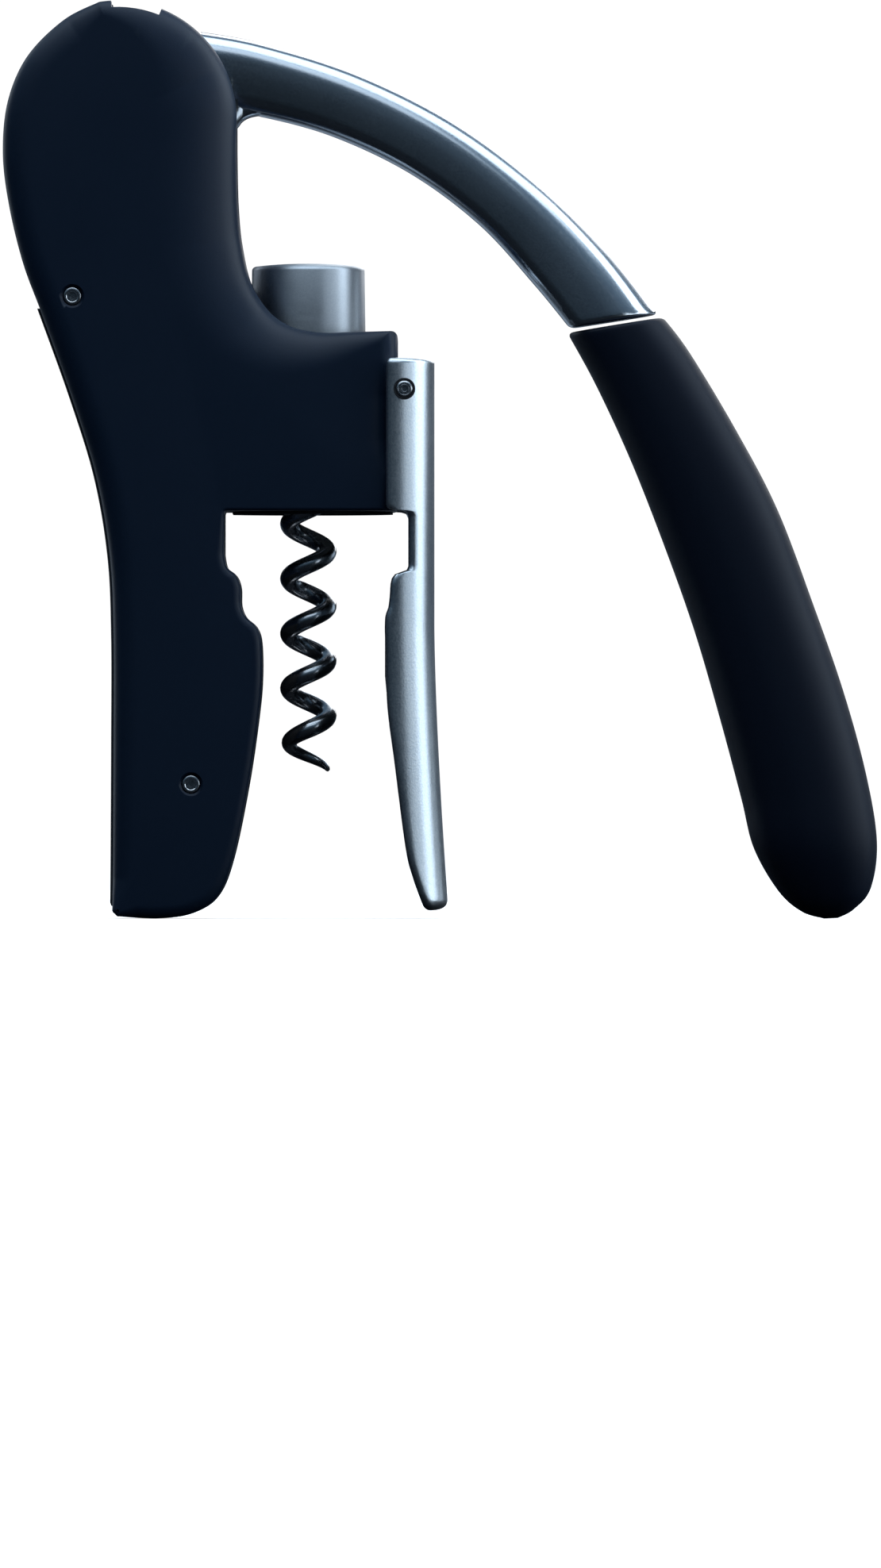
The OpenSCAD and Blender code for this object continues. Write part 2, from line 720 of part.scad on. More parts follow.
module carriage() {
    color("#7d838b") difference() {
        union() {
            translate([0, 0, boss_bottom]) cylinder(h = boss_top - boss_bottom, r = boss_r);
            plate(-arm_half, arm_half) {
                translate([rack_back_x, boss_bottom]) square([-rack_back_x - 4, boss_top - boss_bottom]);
                translate([rack_back_x, boss_bottom])
                    square([pad_front_x - rack_back_x, carriage_pad_top - boss_bottom]);
            }
        }
        translate([0, 0, boss_bottom - 1]) cylinder(h = boss_top, r = shank_r + running);
        for (z = rack_screws_z) translate([rack_back_x - 1, 0, z]) rotate([0, 90, 0])
            cylinder(h = 5, r = rack_screw_r);
        for (z = rack_screws_z) translate([pad_front_x - 0.9, 0, z]) rotate([0, 90, 0])
            cylinder(h = 5, r = 1.7);
    }
}

module rack() {
    tooth_step = PI * tooth_module;
    count = floor((rack_top - teeth_bottom) / tooth_step);
    half_up = tooth_step / 4 - backlash / 4;
    lean = tan(pressure);
    first = -floor((rack_top - pivot_up) / tooth_step - 0.5);
    color("#5e646c") difference() {
        union() {
            plate(-gear_half, gear_half) {
                translate([rack_root_x, rack_bottom]) square([rack_back_x - rack_root_x, rack_top - rack_bottom]);
                for (k = [first : first + count - 1])
                    translate([pitch_x, pivot_up - (k + 0.5) * tooth_step]) polygon([
                        [1.3 * tooth_module, -half_up - 1.3 * lean], [-tooth_module, -half_up + lean],
                        [-tooth_module, half_up - lean], [1.3 * tooth_module, half_up + 1.3 * lean]]);
            }
            plate(-wing_half, wing_half) translate([wing_back_x, rack_bottom])
                square([wing_front_x - wing_back_x, guide_top - 0.4 - rack_bottom]);
        }
        for (z = rack_screws_z) translate([rack_root_x + 0.4, 0, z]) rotate([0, 90, 0])
            cylinder(h = 5, r = rack_screw_r);
    }
}

module rack_screws() {
    color("#a9adb3") for (z = rack_screws_z) translate([0, 0, z]) rotate([0, 90, 0]) difference() {
        union() {
            translate([0, 0, rack_root_x + 0.5]) cylinder(h = pad_front_x - 1 - rack_root_x, r = rack_screw_r);
            translate([0, 0, pad_front_x - 0.9]) cylinder(h = 0.8, r = 1.65);
        }
        translate([0, 0, pad_front_x - 0.5]) cylinder(h = 2, r = 0.8, $fn = 6);
    }
}

module carriage_cap() {
    low_r = cap_r + cap_draft;
    edge = 0.9;
    color("#d3d6da") difference() {
        rotate_extrude() difference() {
            union() {
                polygon([[0, cap_skirt], [low_r, cap_skirt], [cap_r, cap_top - edge], [0, cap_top - edge]]);
                translate([cap_r - edge, cap_top - edge]) circle(edge);
                square([cap_r - edge, cap_top]);
            }
            translate([-20, -1]) square([20, cap_top + 2]);
            square([boss_r + running, cap_top - 1.4]);
            square([2 * cap_r, cap_skirt]);
        }
        plate(-arm_half - running, arm_half + running)
            translate([-2 * cap_r, cap_skirt - 1]) square([2 * cap_r - 4, boss_top - cap_skirt + 1 + running]);
    }
}

module thrust_washers() {
    color("#c2a86b") for (z = [collar_top + eps, boss_top]) translate([0, 0, z]) difference() {
        cylinder(h = washer_h - eps, r = shank_r + 1.8);
        translate([0, 0, -1]) cylinder(h = 2 * washer_h + 2, r = shank_r + running);
    }
}

module worm_circlip() {
    color("#55595f") translate([0, 0, boss_top + washer_h + eps]) difference() {
        cylinder(h = clip_h - 2 * eps, r = shank_r + 1.1);
        translate([0, 0, -1]) cylinder(h = clip_h + 2, r = shank_r - 0.48);
        translate([0, -0.8 * shank_r, -1]) cube([2 * shank_r, 1.6 * shank_r, clip_h + 2]);
    }
}

// ---------- clamp ----------

// Front line of the clamp: straight down to the neck, then flaring out, as x offsets by height
function clamp_line(z) = let (k = max(0, (-18 - z) / (-18 - clamp_bottom))) 2.3 * pow(k, 1.5);

// U-shaped plan of the clamp at height z: outer run, then inner run back
function clamp_ring(z) =
    let (shift = clamp_line(z), bend = 7, steps = 5, back = 5,
        outer = [clamp_front + shift - bend, clamp_outer_half - bend],
        r_in = bend - clamp_wall)
    concat(
        [[back, -clamp_outer_half, z]],
        [for (i = [0 : steps]) let (a = -90 + 90 * i / steps)
            [outer[0] + bend * cos(a), -outer[1] + bend * sin(a), z]],
        [for (i = [0 : steps]) let (a = 90 * i / steps)
            [outer[0] + bend * cos(a), outer[1] + bend * sin(a), z]],
        [[back, clamp_outer_half, z], [back, clamp_inner_half, z]],
        [for (i = [0 : steps]) let (a = 90 - 90 * i / steps)
            [outer[0] + r_in * cos(a), outer[1] + r_in * sin(a), z]],
        [for (i = [0 : steps]) let (a = -90 * i / steps)
            [outer[0] + r_in * cos(a), -outer[1] + r_in * sin(a), z]],
        [[back, -clamp_inner_half, z]]);

// Edge of the cheeks towards the bottle
function cheek_keys() = [
    [13.5, -11.5], [13.2, -15], [12.6, -17.4], [12.7, -23], [13, -31.7], [14.1, -0.61 * heel_depth],
    [15.9, -0.82 * heel_depth], [17.2, -0.9 * heel_depth], [19.1, clamp_bottom]];

module clamp_side() {
    polygon(concat(
        [[12.8, clamp_top], [12.8, 0.6], [16.4, 0.6], [16.4, -9.4], [14, -9.8]],
        smooth(cheek_keys(), 3),
        [[26, clamp_bottom], [26, clamp_top]]));
}

module clamp_lever() {
    color("#c9cdd3") difference() {
        intersection() {
            loft([for (z = clamp_levels) clamp_ring(z)]);
            plate(-2 * body_w, 2 * body_w) clamp_side();
        }
        cross_pin(clamp_pin, clamp_pin_r + clamp_bush_wall, -2 * half_w, 2 * half_w);
        for (z = pad_rivets_z) translate([5, 0, z]) rotate([0, 90, 0]) cylinder(h = 30, r = rivet_r);
    }
}

// Inner face of the clamp's front wall at height z
function clamp_back_x(z) = clamp_front - clamp_wall + clamp_line(z) - 2 * eps;

// Block that presses on the neck; its face drops back with the clamp's edge
module clamp_pad() {
    bottom = -0.72 * heel_depth;
    color("#14171c") difference() {
        plate(-pad_half, pad_half) polygon(concat(
            [[front_pad_x, pad_top], [front_pad_x, -0.4 * heel_depth], [front_pad_x + 0.6, -33],
             [front_pad_x + 2.6, bottom], [clamp_back_x(bottom), bottom]],
            [for (z = clamp_levels) if (z > bottom + eps && z < pad_top - eps) [clamp_back_x(z), z]],
            [[clamp_back_x(pad_top), pad_top]]));
        translate([0, 0, bottom - 1]) cylinder(h = pad_top - bottom + 2, r = neck_r);
        for (z = pad_rivets_z) translate([5, 0, z]) rotate([0, 90, 0]) cylinder(h = 30, r = rivet_r);
    }
}

module pad_rivets() {
    color("#a5a9af") for (z = pad_rivets_z) translate([0, 0, z]) rotate([0, 90, 0]) {
        translate([0, 0, neck_r + 1.6]) cylinder(h = clamp_front - neck_r - 2, r = rivet_r);
    }
}

module clamp_pin() {
    color("#dfe1e4") cross_pin(clamp_pin, clamp_pin_r, -clamp_outer_half - 0.1, clamp_outer_half + 0.1);
}

module clamp_bushes() {
    color("#0f1114") both_sides() difference() {
        cross_pin(clamp_pin, clamp_pin_r + clamp_bush_wall, clamp_inner_half, clamp_outer_half);
        cross_pin(clamp_pin, clamp_pin_r + running / 2, 0, body_w);
    }
}

near_shell();
far_shell();
back_spine();
guide_barrel();
neck_ring();
rear_neck_pad();
rack_guides();
shaft_bushes();
lever_stop();
shell_screws();
shell_nuts();
guide_nut();
nut_clip();
lever_arm();
sector_gear();
gear_pins();
lever_shaft();
grip_core();
lever_grip();
grip_pins();
carriage();
rack();
rack_screws();
carriage_cap();
worm();
thrust_washers();
worm_circlip();
clamp_lever();
clamp_pad();
pad_rivets();
clamp_pin();
clamp_bushes();
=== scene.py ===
"""Looks of a compact lever corkscrew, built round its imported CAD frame. Lengths in the tables are in millimetres."""
import json
import math

import bmesh
import bpy
import numpy as np
from mathutils import Matrix, Vector


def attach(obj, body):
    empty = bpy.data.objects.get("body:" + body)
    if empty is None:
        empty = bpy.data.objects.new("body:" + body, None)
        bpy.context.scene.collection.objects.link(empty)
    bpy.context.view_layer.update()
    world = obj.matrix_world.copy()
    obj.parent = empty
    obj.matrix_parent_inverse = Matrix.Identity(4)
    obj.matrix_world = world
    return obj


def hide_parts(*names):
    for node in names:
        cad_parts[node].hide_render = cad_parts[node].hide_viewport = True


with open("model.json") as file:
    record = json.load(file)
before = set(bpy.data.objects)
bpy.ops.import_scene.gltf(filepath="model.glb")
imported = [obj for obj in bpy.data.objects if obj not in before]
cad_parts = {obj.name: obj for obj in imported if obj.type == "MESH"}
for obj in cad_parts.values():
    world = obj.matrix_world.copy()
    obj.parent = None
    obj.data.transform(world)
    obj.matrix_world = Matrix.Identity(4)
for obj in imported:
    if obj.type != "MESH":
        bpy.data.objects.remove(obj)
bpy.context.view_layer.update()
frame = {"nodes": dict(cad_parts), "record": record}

MM = 0.001

# ---------- sizes that follow the frame ----------

HALF_W = 17.5
HEAD_R = 19.4
PIVOT = np.array([-31.0, 64.7])
BLOCK_TOP = 30.0
BLOCK_FRONT = 14.8
BLOCK_LIFT = 0.4
HEEL = 66.3
SKIN_GAP = 0.1
FORK_HALF = 5.9
GEAR_GAP_HALF = 3.0
CAP_R = 9.25
CAP_TOP = 41.2
CAP_SKIRT = 26.0
BOSS_R = 8.25
CLAMP_PIN = (15.8, 20.4)
CLAMP_TOP = 25.5
CLAMP_BOTTOM = -64.9
CLAMP_FRONT = 20.7
CLAMP_OUTER = 19.6
CLAMP_WALL = 1.8
LUG_R = 2.36
LUG_HALF = 12.95
SCREWS_AT = [(-38.5, 0.55 * PIVOT[1]), (-19.1, -0.667 * HEEL)]
SCREW_HEAD_R = 1.45
SCREW_SINK = 0.3
HEAD_H = 1.3
SLEEVE_TOP = 2.7
SOCKET_R = 0.72
SOCKET_DEPTH = 0.8
STRIP_HALF = 6.2
STRIP_TOP = 0.522 * PIVOT[1]
CHEEK_HUB_R = 12
CHEEK_SECTOR_R = 17.95
GEAR_ROOM_R = 19.8
SHAFT_BORE_R = 3.02
PIN_CIRCLE_R = 8.6
PIN_BORE_R = 1.22
PIN_ANGLES = (40, 160, 280)
CLAMP_HOLE_R = 1.78
CLAMP_BEND_R = 7.0
CLAMP_FLARE = 2.3
CLAMP_FLARE_FROM = -18
RACK_SLOT_HALF = 2.85
RACK_SLOT_TOP = 36.85
SMALL_SIDES = 48

# Key points of the housing's outline, in X and Z, from the heel up the front and down the back
HEEL_KEYS = [(-31.2, -HEEL + 0.35), (-24.4, -HEEL), (-18.6, -HEEL + 0.9), (-14.6, -HEEL + 3.7),
             (-12.1, -0.85 * HEEL), (-9.6, -0.668 * HEEL), (-8, -0.505 * HEEL), (-7.4, -27), (-7.5, -21),
             (-8.3, -18.4), (-10, -16.8), (-10.8, -14.9), (-10.9, -12), (-11.6, -10), (-13.1, -8.7), (-13.6, -6.6)]
SHOULDER_KEYS = [(7, BLOCK_TOP - 0.15), (1, BLOCK_TOP - 0.1), (-4.9, BLOCK_TOP + 2), (-8.9, BLOCK_TOP + 7.2),
                 (-10.7, BLOCK_TOP + 14), (PIVOT[0] + HEAD_R + 0.2, BLOCK_TOP + 21),
                 (PIVOT[0] + HEAD_R, PIVOT[1] - 5)]
BACK_KEYS = [(PIVOT[0] - 3.1, PIVOT[1] + HEAD_R - 0.25), (-40, PIVOT[1] + 16.2), (-46, PIVOT[1] + 10.2),
             (-49.2, PIVOT[1] + 2.8), (-50, PIVOT[1] - 5.7), (-49, PIVOT[1] - 14.2), (-46.7, PIVOT[1] - 23.7),
             (-43.5, 0.5 * PIVOT[1]), (-38.7, 19), (-34.7, 6), (-32.5, -7), (-31.9, -20), (-31.9, -38),
             (-32, -HEEL + 8), (-32.1, -HEEL + 1.2)]

# Lever: upper or outer edge, lower or inner edge, both from the pivot, and the half width
ARM_STATIONS = [(13, 14.7, 15.6, 1.2, 5.9), (23.4, 12.8, 21.6, 0.9, 5.9), (39, 8, 34.3, -2.4, 6.4),
                (54.7, 0.4, 47.5, -8.6, 6.9), (68.5, -9.5, 59, -17.1, 7.3), (80, -20.8, 68, -26.9, 7.6),
                (88.5, -31.8, 73.9, -34.1, 7.9)]
GRIP_STATIONS = [(89.3, -32.3, 73.5, -34.9, 8.2), (93.6, -38, 78.3, -43.7, 8.5), (101.1, -50.5, 84, -56.1, 8.9),
                 (108, -63.7, 89.6, -70.4, 9.2), (113.9, -79.3, 94.4, -84, 9.5), (118.9, -93.7, 98.5, -98.1, 9.6),
                 (122.6, -107.2, 102, -111.2, 9.6), (124.4, -118.3, 104.1, -119.5, 9.3),
                 (123.4, -126, 108.2, -126.6, 7.3), (120.6, -129.5, 112, -129.9, 5.1),
                 (118, -130.9, 115.6, -131, 1.5)]

# Half sections, as width and height from -1 at the lower edge to 1 at the upper edge
ARM_ROOT_SECTION = [(0, -1), (0.5, -0.98), (0.84, -0.9), (0.97, -0.7), (1, -0.3), (1, 0.25), (0.96, 0.62),
                    (0.78, 0.87), (0.42, 0.975), (0, 1)]
ARM_SECTION = [(0, -1), (0.55, -0.99), (0.9, -0.92), (0.99, -0.78), (1, -0.55), (0.995, -0.25), (0.97, 0.12),
               (0.9, 0.44), (0.72, 0.72), (0.42, 0.91), (0.18, 0.98), (0, 1)]
GRIP_SECTION = [(0, -1), (0.5, -0.95), (0.84, -0.72), (0.98, -0.3), (1, 0.1), (0.93, 0.5), (0.72, 0.8),
                (0.4, 0.96), (0, 1)]

WORM = {"depth": 42.0, "pitch": 9.0, "helix_r": 3.2, "wire_r": 1.45, "top": 12.55, "shank_r": 2.5,
        "point": 9}


# ---------- curves and meshes ----------

def curve_through(keys, steps):
    """A smooth curve through key points, with the same number of steps in each stretch."""
    keys = [np.array(k, float) for k in keys]
    points = []
    for i in range(len(keys) - 1):
        a, b, c, d = keys[max(i - 1, 0)], keys[i], keys[i + 1], keys[min(i + 2, len(keys) - 1)]
        for k in range(steps):
            t = k / steps
            points.append(0.5 * (2 * b + (c - a) * t + (2 * a - 5 * b + 4 * c - d) * t ** 2
                                 + (3 * b - a - 3 * c + d) * t ** 3))
    points.append(keys[-1])
    return np.array(points)


def arc(centre, r, start, end, steps):
    """Points on an arc, angles in degrees."""
    angles = np.radians(np.linspace(start, end, steps + 1))
    return np.array(centre) + r * np.stack([np.cos(angles), np.sin(angles)], 1)


def lengths_along(path):
    """How far along a path each of its points lies."""
    return np.concatenate([[0], np.cumsum(np.linalg.norm(np.diff(path, axis=0), axis=1))])


def points_at(path, along, at):
    """The points of a flat path at the given lengths."""
    return np.stack([np.interp(at, along, path[:, i]) for i in (0, 1)], 1)


def evenly(points, count, *values):
    """A closed outline with a number of evenly spaced points, and values that go with its points."""
    loop = np.vstack([points, points[:1]])
    along = lengths_along(loop)
    at = np.linspace(0, along[-1], count, endpoint=False)
    return [points_at(loop, along, at), *(np.interp(at, along, np.append(v, v[0])) for v in values)]


def respaced(points, spacing, *values):
    """A closed outline with points at about a given spacing, and values that go with its points."""
    total = lengths_along(np.vstack([points, points[:1]]))[-1]
    return evenly(points, int(round(total / spacing)), *values)


def edge_normals(outline):
    """Outward normals of an outline that runs counter-clockwise."""
    run = np.roll(outline, -1, 0) - np.roll(outline, 1, 0)
    run /= np.linalg.norm(run, axis=1)[:, None]
    return np.stack([run[:, 1], -run[:, 0]], 1)


def eased_radii(outline, radii):
    """Edge radii kept under the outline's own curvature at its corners, and changing gently along it."""
    a, b = outline - np.roll(outline, 2, 0), np.roll(outline, -2, 0) - outline
    la, lb = np.linalg.norm(a, axis=1), np.linalg.norm(b, axis=1)
    turn = np.arcsin(np.clip((a[:, 0] * b[:, 1] - a[:, 1] * b[:, 0]) / (la * lb), -1, 1))
    own = np.where(turn > 0.005, 0.8 * (la + lb) / 2 / np.maximum(turn, 0.005), 1e3)
    r = np.minimum(radii, own)
    step = np.linalg.norm(np.roll(outline, -1, 0) - outline, axis=1)
    for _ in range(3):
        for order in (range(len(r)), range(len(r) - 1, -1, -1)):
            last = r[order[-1]]
            for i in order:
                r[i] = last = min(r[i], last + 0.45 * step[i])
    return r


def piece_of(name, verts, faces):
    """A new object from points in millimetres."""
    mesh = bpy.data.meshes.new(name)
    mesh.from_pydata([tuple(float(c) * MM for c in v) for v in verts], [], [tuple(f) for f in faces])
    obj = bpy.data.objects.new(name, mesh)
    bpy.context.scene.collection.objects.link(obj)
    return obj


def tidied(obj, merge=2e-7, flip=True):
    """Merges doubled points, drops what has no area, and turns every face outwards."""
    bm = bmesh.new()
    bm.from_mesh(obj.data)
    bmesh.ops.remove_doubles(bm, verts=bm.verts, dist=merge)
    bmesh.ops.dissolve_degenerate(bm, edges=bm.edges, dist=merge)
    if flip:
        bmesh.ops.recalc_face_normals(bm, faces=bm.faces)
    bm.to_mesh(obj.data)
    bm.free()
    return obj


def ring_mesh(name, rings):
    """A closed skin through rings of the same number of points, with a fan at each end."""
    n = len(rings[0])
    verts = [p for ring in rings for p in ring]
    faces = []
    for i in range(len(rings) - 1):
        for j in range(n):
            k = (j + 1) % n
            faces.append((i * n + j, i * n + k, (i + 1) * n + k, (i + 1) * n + j))
    for base in (0, (len(rings) - 1) * n):
        verts.append(np.mean(verts[base:base + n], axis=0))
        hub = len(verts) - 1
        faces += [(hub, base + j, base + (j + 1) % n) for j in range(n)]
    return tidied(piece_of(name, verts, faces))


def lathe(name, profile, steps=96):
    """A turned shape about the Z axis from a closed outline of radius and height."""
    rings = []
    for k in range(steps):
        a = 2 * math.pi * k / steps
        rings.append([(r * math.cos(a), r * math.sin(a), z) for r, z in profile])
    n, verts, faces = len(profile), [p for ring in rings for p in ring], []
    for i in range(steps):
        for j in range(n):
            k, m = (j + 1) % n, (i + 1) % steps
            faces.append((i * n + j, i * n + k, m * n + k, m * n + j))
    return tidied(piece_of(name, verts, faces))


def rounded_prism(name, outline, y0, y1, r0=0.0, r1=0.0, arc_steps=8, spread=0.0):
    """A plate across the tool from y0 to y1, with rounded edges. With a spread, a larger edge reaches further
    in than it is deep."""
    n = len(outline)
    normal = edge_normals(outline)
    rings = []
    for y, r, way in ((y0, r0, 1), (y1, r1, -1)):
        r = np.broadcast_to(np.asarray(r, float), (n,)).copy()
        side = []
        if r.max() > 0:
            reach = eased_radii(outline, r * (1 + spread * r))
            r = 2 * reach / (1 + np.sqrt(1 + 4 * spread * reach))
            for k in range(arc_steps + 1):
                a = math.pi / 2 * k / arc_steps
                side.append((outline - normal * (reach * (1 - math.cos(a)))[:, None],
                             y + way * r * (1 - math.sin(a))))
        else:
            side.append((outline, np.full(n, y)))
        rings += side[::-1] if way == 1 else side
    verts = [(p[0], h, p[1]) for ring, y in rings for p, h in zip(ring, y)]
    faces = []
    for i in range(len(rings) - 1):
        for j in range(n):
            k = (j + 1) % n
            faces.append((i * n + j, (i + 1) * n + j, (i + 1) * n + k, i * n + k))
    last = (len(rings) - 1) * n
    faces.append(tuple(last + j for j in range(n - 1, -1, -1)))
    faces.append(tuple(range(n)))
    return tidied(piece_of(name, verts, faces))


def applied(obj):
    """The object with its modifiers made into a plain mesh."""
    made = bpy.data.meshes.new_from_object(obj.evaluated_get(bpy.context.evaluated_depsgraph_get()))
    obj.modifiers.clear()
    old, obj.data = obj.data, made
    made.name = obj.name
    bpy.data.meshes.remove(old)
    return obj


def shaped(obj, operation, tools):
    """Cuts, joins or trims an object with closed tool shapes, which are used up."""
    for tool in tools:
        step = obj.modifiers.new("shape", "BOOLEAN")
        step.operation, step.object, step.solver = operation, tool, "MANIFOLD"
        before = len(obj.data.polygons)
        trial = bpy.data.meshes.new_from_object(obj.evaluated_get(bpy.context.evaluated_depsgraph_get()))
        if len(trial.polygons) in (0, before):
            step.solver = "EXACT"
        bpy.data.meshes.remove(trial)
        applied(obj)
        remove(tool)
    return obj


def remove(obj):
    """Takes away an object, and its mesh if nothing else uses it."""
    mesh = obj.data
    bpy.data.objects.remove(obj)
    if mesh.users == 0:
        bpy.data.meshes.remove(mesh)


def cad_copy(node):
    """A merged copy of a CAD node's mesh, as a tool for shaping."""
    obj = bpy.data.objects.new(node + "_copy", frame["nodes"][node].data.copy())
    bpy.context.scene.collection.objects.link(obj)
    return tidied(obj, merge=1e-6, flip=False)


def mirrored(obj, name):
    """A copy on the other side of the tool's middle plane."""
    copy = bpy.data.objects.new(name, obj.data.copy())
    bpy.context.scene.collection.objects.link(copy)
    copy.data.transform(Matrix.Scale(-1, 4, Vector((0, 1, 0))))
    copy.data.flip_normals()
    return copy


def box_tool(low, high):
    """A closed box between two corners."""
    corners = [(x, y, z) for x in (low[0], high[0]) for y in (low[1], high[1]) for z in (low[2], high[2])]
    faces = [(0, 1, 3, 2), (4, 6, 7, 5), (0, 4, 5, 1), (2, 3, 7, 6), (0, 2, 6, 4), (1, 5, 7, 3)]
    return tidied(piece_of("box_tool", corners, faces))


def across(name, at, r, y0, y1, steps=64):
    """A round tool across the tool's width."""
    return rounded_prism(name, arc(at, r, 0, 360 - 360 / steps, steps - 1), y0, y1)


def finished(obj, material, body, slot, *nodes, angle=32):
    """Smooth shading with true edges, its material, its body and the CAD nodes it stands for; slot is not used."""
    obj.data.materials.clear()
    obj.data.materials.append(material)
    obj.data.shade_smooth()
    obj.data.set_sharp_from_angle(angle=math.radians(angle))
    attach(obj, body)
    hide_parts(*nodes)
    return obj


def merged(name, parts):
    """Several plain objects as one."""
    bm = bmesh.new()
    for part in parts:
        bm.from_mesh(part.data)
    mesh = bpy.data.meshes.new(name)
    bm.to_mesh(mesh)
    bm.free()
    for part in parts:
        remove(part)
    obj = bpy.data.objects.new(name, mesh)
    bpy.context.scene.collection.objects.link(obj)
    return obj


# ---------- shader groups ----------

def group_shell(name, inputs, outputs):
    """A new shader group with named sockets."""
    tree = bpy.data.node_groups.new(name, "ShaderNodeTree")
    for label, kind, default in inputs:
        socket = tree.interface.new_socket(label, in_out="INPUT", socket_type=kind)
        if default is not None:
            socket.default_value = default
    for label, kind in outputs:
        tree.interface.new_socket(label, in_out="OUTPUT", socket_type=kind)
    return tree, tree.nodes.new("NodeGroupInput"), tree.nodes.new("NodeGroupOutput")


def node(tree, kind, links=None, **settings):
    """A node with its settings and what feeds it."""
    made = tree.nodes.new(kind)
    for key, value in settings.items():
        setattr(made, key, value)
    for key, value in (links or {}).items():
        if isinstance(value, bpy.types.NodeSocket):
            tree.links.new(value, made.inputs[key])
        else:
            made.inputs[key].default_value = value
    return made


def math_node(tree, operation, *values, clamp=False):
    return node(tree, "ShaderNodeMath", dict(enumerate(values)), operation=operation, use_clamp=clamp).outputs[0]


def colour_mix(tree, factor, a, b):
    mix = node(tree, "ShaderNodeMix", {"Factor": factor}, data_type="RGBA")
    for socket, value in ((mix.inputs[6], a), (mix.inputs[7], b)):
        if isinstance(value, bpy.types.NodeSocket):
            tree.links.new(value, socket)
        else:
            socket.default_value = value
    return mix.outputs[2]


FLOAT, COLOUR, VECTOR = "NodeSocketFloat", "NodeSocketColor", "NodeSocketVector"


def build_grain_group():
    """Fine grain with a slow mottle: colour, roughness and height."""
    tree, given, out = group_shell("fine_grain", [
        ("Position", VECTOR, None), ("Colour", COLOUR, (0.5, 0.5, 0.5, 1)),
        ("Fleck Colour", COLOUR, (0.6, 0.6, 0.6, 1)),
        ("Fleck Amount", FLOAT, 0.3), ("Grain Scale", FLOAT, 3000.0), ("Mottle Scale", FLOAT, 60.0),
        ("Rough Low", FLOAT, 0.4), ("Rough High", FLOAT, 0.5)],
        [("Colour", COLOUR), ("Roughness", FLOAT), ("Height", FLOAT)])
    src = given.outputs
    grain = node(tree, "ShaderNodeTexNoise", {"Vector": src["Position"], "Scale": src["Grain Scale"], "Detail": 2.0,
                                              "Roughness": 0.6})
    mottle = node(tree, "ShaderNodeTexNoise", {"Vector": src["Position"], "Scale": src["Mottle Scale"], "Detail": 3.0,
                                               "Roughness": 0.5})
    sharp = node(tree, "ShaderNodeMapRange", {"Value": grain.outputs["Fac"], "From Min": 0.35, "From Max": 0.65})
    slow = node(tree, "ShaderNodeMapRange", {"Value": mottle.outputs["Fac"], "From Min": 0.3, "From Max": 0.7})
    share = math_node(tree, "MULTIPLY", sharp.outputs[0], src["Fleck Amount"])
    blend = math_node(tree, "ADD", math_node(tree, "MULTIPLY", share, 0.7),
                      math_node(tree, "MULTIPLY", math_node(tree, "MULTIPLY", slow.outputs[0],
                                                            src["Fleck Amount"]), 0.3),
                      clamp=True)
    tree.links.new(colour_mix(tree, blend, src["Colour"], src["Fleck Colour"]), out.inputs["Colour"])
    both = math_node(tree, "ADD", math_node(tree, "MULTIPLY", sharp.outputs[0], 0.5),
                     math_node(tree, "MULTIPLY", slow.outputs[0], 0.5))
    rough = node(tree, "ShaderNodeMapRange", {"Value": both, "To Min": src["Rough Low"], "To Max": src["Rough High"]})
    tree.links.new(rough.outputs[0], out.inputs["Roughness"])
    tree.links.new(sharp.outputs[0], out.inputs["Height"])
    return tree


def build_lines_group():
    """Fine lines left by a tool along one axis, as height and a mask."""
    tree, given, out = group_shell("tool_lines", [
        ("Position", VECTOR, None), ("Stretch", VECTOR, (1.0, 1.0, 1.0)), ("Scale", FLOAT, 900.0)],
        [("Mask", FLOAT), ("Height", FLOAT)])
    src = given.outputs
    drawn = node(tree, "ShaderNodeVectorMath", {0: src["Position"], 1: src["Stretch"]}, operation="MULTIPLY")
    noise = node(tree, "ShaderNodeTexNoise", {"Vector": drawn.outputs[0], "Scale": src["Scale"], "Detail": 3.0})
    mask = node(tree, "ShaderNodeMapRange", {"Value": noise.outputs["Fac"], "From Min": 0.3, "From Max": 0.7})
    tree.links.new(mask.outputs[0], out.inputs["Mask"])
    tree.links.new(noise.outputs["Fac"], out.inputs["Height"])
    return tree


def build_wear_group():
    """Rubbed corners: a mask that is strongest on outside edges."""
    tree, given, out = group_shell("rubbed_edges", [
        ("Position", VECTOR, None), ("Low", FLOAT, 0.52), ("High", FLOAT, 0.62), ("Patch Scale", FLOAT, 250.0)],
        [("Mask", FLOAT)])
    src = given.outputs
    shape = node(tree, "ShaderNodeNewGeometry")
    edge = node(tree, "ShaderNodeMapRange", {"Value": shape.outputs["Pointiness"], "From Min": src["Low"],
                                             "From Max": src["High"]})
    patch = node(tree, "ShaderNodeTexNoise", {"Vector": src["Position"], "Scale": src["Patch Scale"], "Detail": 4.0})
    tree.links.new(math_node(tree, "MULTIPLY", edge.outputs[0], patch.outputs["Fac"], clamp=True), out.inputs["Mask"])
    return tree


GRAIN, LINES, WEAR = build_grain_group(), build_lines_group(), build_wear_group()


